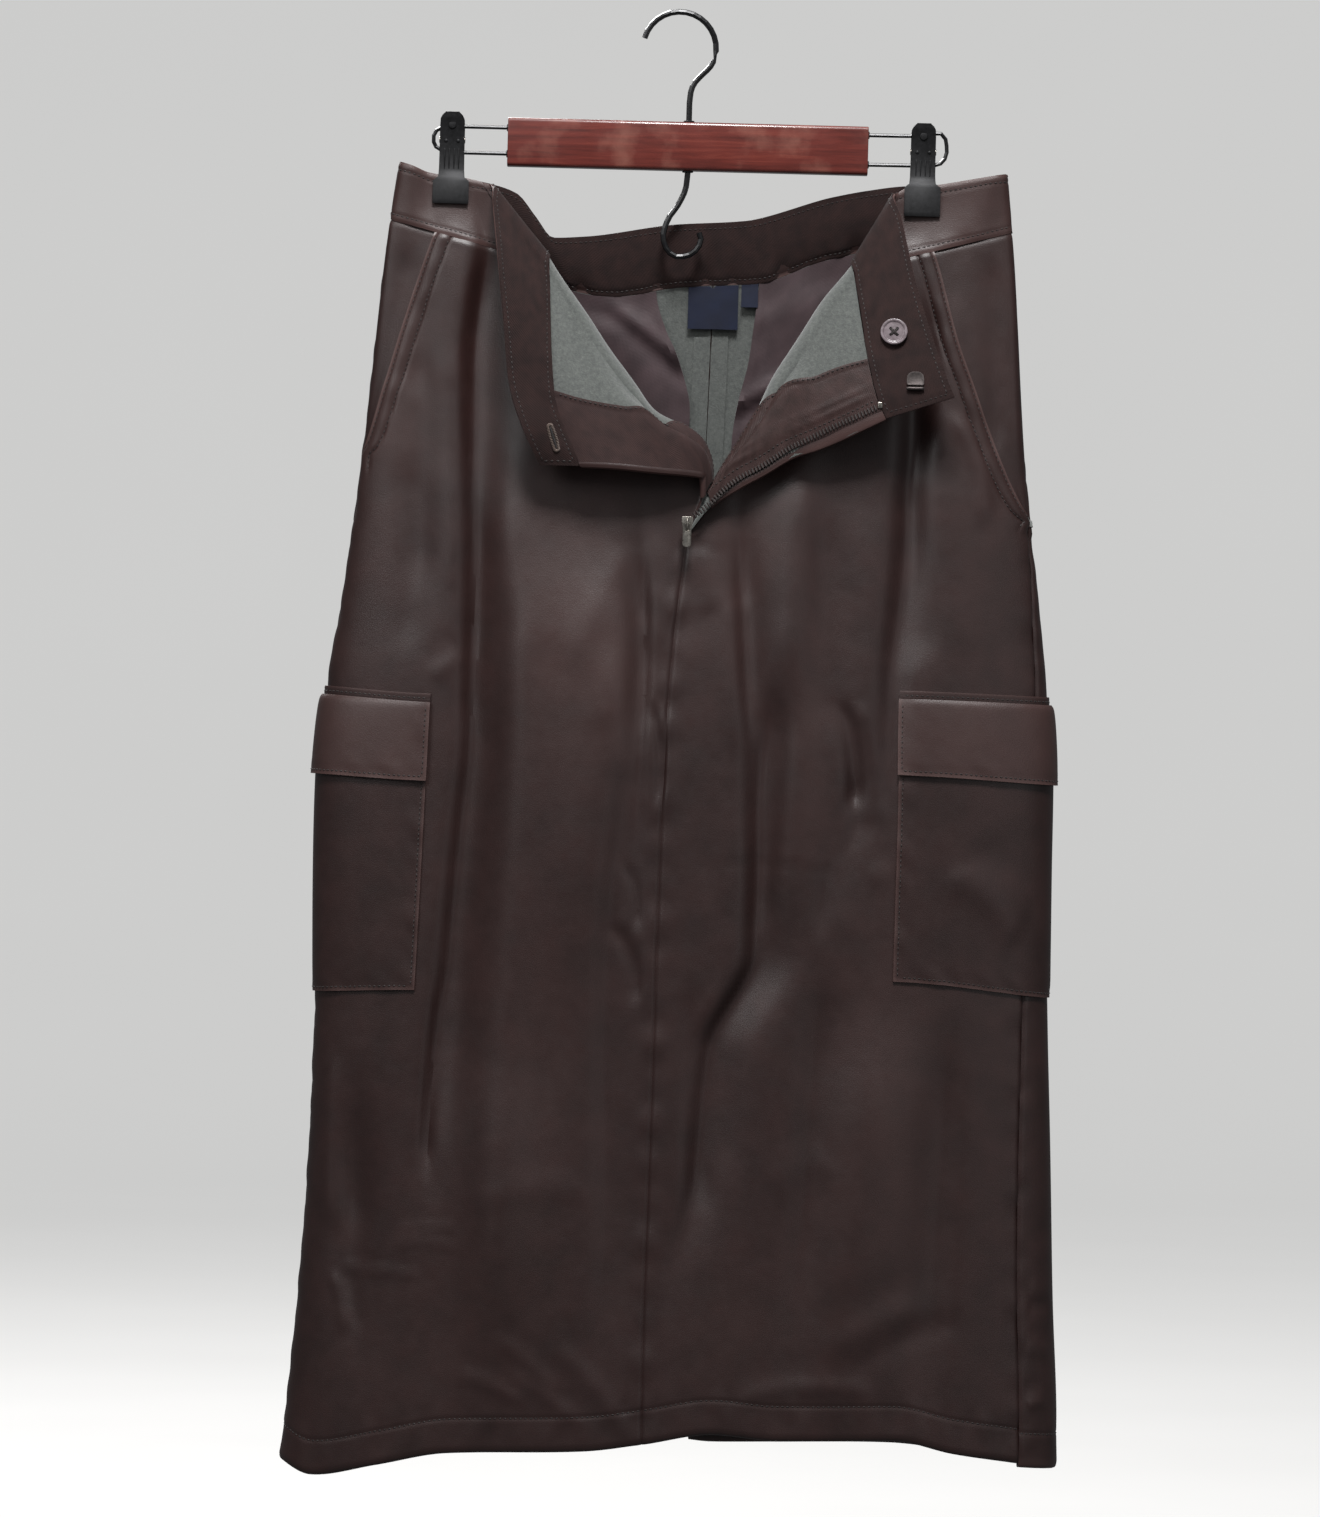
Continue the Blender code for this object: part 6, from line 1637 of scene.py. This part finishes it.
# buttonhole: close satin stitches round a slit
buttonhole = {"x": -75.5, "z": -284.2, "long": 17.5, "wide": 3.0, "tilt": -0.32, "count": 64}
place, way = onFacing("left", buttonhole["x"], buttonhole["z"])
upward = np.array([math.sin(buttonhole["tilt"]), 0, math.cos(buttonhole["tilt"])])
upward = unit(upward - way * np.dot(upward, way))
acrossHole = np.cross(upward, way)
lines = []
for k in range(buttonhole["count"]):
    angle = 2 * math.pi * k / buttonhole["count"]
    straight = buttonhole["long"] / 2 - buttonhole["wide"] / 2
    u = np.clip(1.35 * math.sin(angle), -1, 1) * straight + math.sin(angle) * buttonhole["wide"] / 2
    w = math.cos(angle) * buttonhole["wide"] / 2 * (1.25 if abs(math.sin(angle)) < 0.8 else 1)
    atEnd = abs(math.sin(angle)) > 0.8
    spread = unit(np.array([math.cos(angle), 0.6 * math.sin(angle) if atEnd else 0.0]))
    middle = place + way * (cloth["twill"] / 2 + 0.35) + upward * u + acrossHole * w
    ray = acrossHole * spread[0] + upward * spread[1]
    start, end = middle - ray * 1.15, middle + ray * 1.15
    lines.append(np.array([np.concatenate([start, way]), np.concatenate([end, way])]))
sewn("buttonholeStitches", lines, "paleThread", {"pitch": 2.2, "length": 2.3, "radius": 0.45, "sunk": 0.0})
slit = roundTube("buttonholeSlit", [place + way * 0.62 + upward * t for t in np.linspace(-7.6, 7.6, 9)],
                 [0.3, 0.6, 0.7, 0.7, 0.7, 0.7, 0.7, 0.6, 0.3], 8)
completed(slit, "slit")
print("button and hook made")

# hanger: varnished bar, its fittings and the two clips
bar = {"left": -111.3, "right": 125.5, "top": -70.7, "low": -102.6, "thick": 12.0, "stem": 7.4}
rail = startBlock("hangerBar", (bar["left"], -bar["thick"] / 2, bar["low"]),
                  (bar["right"], bar["thick"] / 2, bar["top"]))
pick(rail, "EDGE", lambda centre, way: abs(way.x) > 0.9)
bpy.ops.mesh.bevel(offset=2.6 * mm, segments=5)
pick(rail, "FACE", lambda centre, way: abs(way.x) > 0.9)
bpy.ops.mesh.inset(thickness=0.9 * mm)
bpy.ops.mesh.extrude_region_move(TRANSFORM_OT_translate={"value": (0, 0, 0)})
bpy.ops.object.mode_set(mode="OBJECT")
cutBy(rail, startRod("bore", (bar["stem"], 0, (bar["top"] + bar["low"]) / 2), 2.2, 60, 24))
rounded(rail, 0.5, 3, 40)
completed(rail, "wood", ["hanger_bar"], angle=30)

fittings = []
lyingX = (0, math.pi / 2, 0)              # turns a rod to lie along x
pinZ = -86.2
leftEnd, rightEnd = bar["left"] - 0.35, bar["right"] + 0.35
for x, z in ((leftEnd, -77.2), (leftEnd, -94.3), (rightEnd, -76.0), (rightEnd, -95.4)):
    fittings.append(startRod("ferrule", (x, 0, z), 2.4, 0.8, 24, lyingX))
for z in (bar["top"] + 0.5, bar["low"] - 0.5):
    fittings.append(startRod("collar", (bar["stem"], 0, z), 3.6, 1.0, 28))
for part in fittings:
    rounded(part, 0.25, 2)
ferrules = joined("hangerFerrules", fittings)
completed(ferrules, "clip")

clips = {"left": {"x": -147.8, "top": -68.0, "jaw": -112.2, "end": -128.5},
         "right": {"x": 161.8, "top": -67.6, "jaw": -108.6, "end": -129.0}}
clipProfile = {"share": (0, 0.05, 0.1, 0.22, 0.6, 0.85, 0.93, 0.97, 1.03),
               "half": (4.6, 6.6, 7.8, 8.1, 8.1, 8.2, 8.4, 8.6, 11.8),
               "stand": (5.4, 4.9, 4.4, 2.75, 2.65, 3.1, 4.2, 5.4, 5.7)}
for side, sizes in clips.items():
    for face, way in (("Front", -1), ("Back", 1)):
        x = sizes["x"]
        first = clipProfile["half"][0]
        y = way * clipProfile["stand"][0]
        leaf = startBlock("leaf", (x - first, y - 0.6, sizes["top"] - 0.3), (x + first, y + 0.6, sizes["top"]))
        z = sizes["top"] - 0.3
        stations = [(mix(sizes["top"], sizes["jaw"], share), half, stand) for share, half, stand
                    in zip(*clipProfile.values())][1:] + [(sizes["end"] + 3, 11.9, 6.5), (sizes["end"], 11.6, 6.7)]
        wide = first
        for nextZ, half, stand in stations:
            pick(leaf, "FACE", lambda centre, normal: normal.z < -0.3 and centre.z < z + 0.2)
            move = (0, (way * stand - y) * mm, (nextZ - z) * mm)
            bpy.ops.mesh.extrude_region_move(TRANSFORM_OT_translate={"value": move})
            bpy.ops.transform.resize(value=(half / wide, 1, 1),
                                     center_override=(x * mm, way * stand * mm, nextZ * mm))
            bpy.ops.object.mode_set(mode="OBJECT")
            y, z, wide = way * stand, nextZ, half
        rounded(leaf, 0.4, 2, 35)
        parts = [leaf]
        outside = way * 3.3
        for aside in (-4.6, -1.6, 1.6, 4.6):      # pressed ribs on the grip
            rib = blockAt("rib", (x + aside, outside, sizes["top"] - 31), (1.1, 0.9, 14))
            rounded(rib, 0.4, 3)
            parts.append(rib)
        for aside in (-4, 4):                     # dimples
            nothingPicked()
            bpy.ops.mesh.primitive_uv_sphere_add(segments=16, ring_count=8, radius=1.3 * mm,
                                                 location=((x + aside) * mm, way * 3.2 * mm, (sizes["top"] - 19) * mm),
                                                 scale=(1, 0.5, 1))
            parts.append(placed("dimple"))
        for aside in (-7.4, 7.4):                 # ears that hold the pin
            ear = blockAt("ear", (x + aside, way * 2.05, sizes["top"] - 18.4), (1.0, 2.3, 8.4))
            rounded(ear, 0.4, 3)
            parts.append(ear)
        lip = blockAt("lip", (x, way * 6.45, sizes["end"] + 1.4), (22.4, 1.1, 1.6))
        rounded(lip, 0.5, 3)
        parts.append(lip)
        rivet = startRod("rivet", (x, way * 3.6, sizes["top"] - 8.5), 2.6, 1.3, 24, (math.pi / 2, 0, 0))
        rounded(rivet, 0.5, 3)
        parts.append(rivet)
        clip = joined(side + "Clip" + face, parts)
        completed(clip, "clip", ["clip_" + side + "_" + face.lower()], angle=35)
    pin = startRod(side + "ClipPin", (sizes["x"], 0, pinZ), 1.6, 15, 24, lyingX)
    rounded(pin, 0.45, 3)
    heads = [startRod("head", (sizes["x"] + aside, 0, pinZ), 2.1, 0.7, 24, lyingX) for aside in (-8.2, 8.2)]
    for head in heads:
        rounded(head, 0.25, 2)
    pin = joined(side + "ClipPin", [pin] + heads)
    completed(pin, "nickel", ["clip_" + side + "_pin"])
print("hanger made")


def paintNode(node, finish):              # a CAD node whose shape is right gets its real finish
    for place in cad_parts[node].material_slots:
        place.material = finishes[finish]


for node in ("hanger_hook", "hanger_loop_left", "hanger_loop_right"):
    paintNode(node, "wire")

sewn("panelStitches", stitchLines["panels"], "thread")
sewn("bandStitches", stitchLines["trims"], "thread")
sewn("facingStitches", stitchLines["inside"], "thread")
print("stitches sewn")

studio = {"floorZ": -1150, "reach": 7500, "sweep": 2000, "high": 7000, "glow": 0.72,
          "key": 122, "side": 15, "fill": 4, "top": 12, "back": 110, "world": 0.165}


def makeFloor():                          # matt painted board, faintly uneven
    material, tree, shader, place = newMaterial("pale matt paint", {"Roughness": 0.85, "Specular IOR Level": 0.2,
                                                             "Emission Strength": studio["glow"],
                                                             "Emission Color": linearColour("#dfdfde")})
    mottle = addNode(tree, "TexNoise", {"Scale": 1.7, "Detail": 3.0}, {"Vector": place}).outputs["Fac"]
    colourRamp(tree, mottle, [(0.2, "#8f8e8d"), (0.8, "#989796")], shader)
    return material


def layFloor():                           # a round floor that sweeps up into a wall on all sides
    sweep = studio["sweep"]
    flat = studio["reach"] - sweep
    profile = [(0.001, 0), (flat / 2, 0)]
    for i in range(13):
        angle = math.pi / 2 * i / 12
        profile.append((flat + sweep * math.sin(angle), sweep - sweep * math.cos(angle)))
    profile.append((studio["reach"], studio["high"]))
    around = 64
    verts = []
    for radius, z in profile:
        for k in range(around):
            angle = 2 * math.pi * k / around
            verts.append((radius * math.cos(angle), radius * math.sin(angle), studio["floorZ"] + z))
    faces = []
    for i in range(len(profile) - 1):
        for k in range(around):
            t = (k + 1) % around
            faces.append((i * around + k, i * around + t, (i + 1) * around + t, (i + 1) * around + k))
    floor = meshPiece("studioFloor", verts, [face[::-1] for face in faces])
    floor.data.materials.append(makeFloor())
    finished(floor, 60)
    floor.visible_diffuse = floor.visible_glossy = floor.visible_shadow = False   # lights only what the camera sees


def softLight(name, place, target, size, power):
    lamp = bpy.data.lights.new(name, "AREA")
    lamp.shape = "RECTANGLE"
    lamp.size, lamp.size_y = size
    lamp.energy = power
    item = bpy.data.objects.new(name, lamp)
    bpy.context.scene.collection.objects.link(item)
    item.location = place
    item.visible_camera = False
    item.rotation_euler = (Vector(target) - Vector(place)).to_track_quat("-Z", "Y").to_euler()


layFloor()
for name, place, targetZ, size, power in (
        ("keyLight", (0.1, -1.7, 2.2), -0.45, (0.75, 0.75), studio["key"]),
        ("sideLight", (-1.3, -1.7, 0.85), -0.45, (0.9, 1.2), studio["side"]),
        ("fillLight", (1.7, -1.9, -0.2), -0.5, (1.4, 1.6), studio["fill"]),
        ("topLight", (0.1, -0.4, 1.5), -0.4, (1.6, 1.0), studio["top"]),
        ("backLight", (-1.0, 2.2, 1.6), -0.4, (1.2, 1.2), studio["back"])):
    softLight(name, place, (0, 0, targetZ), size, power)
world = bpy.data.worlds.new("studioAir")
world.use_nodes = True
world.node_tree.nodes["Background"].inputs["Color"].default_value = linearColour("#eef0f2")
world.node_tree.nodes["Background"].inputs["Strength"].default_value = studio["world"]
bpy.context.scene.world = world
bpy.context.scene.view_settings.view_transform = "Standard"

cameraView = {"distance": 4.2, "height": 0.997, "x": -0.0007, "z": -0.489, "roll": -1.5}
camera = bpy.data.cameras.new("photoCamera")
camera.lens = camera.sensor_width * cameraView["distance"] / cameraView["height"]   # the width is the long side's
eye = bpy.data.objects.new("photoCamera", camera)
bpy.context.scene.collection.objects.link(eye)
eye.location = (cameraView["x"], -cameraView["distance"], cameraView["z"])
eye.rotation_euler = (math.radians(90), math.radians(cameraView["roll"]), 0)
bpy.context.scene.camera = eye
print("studio set")
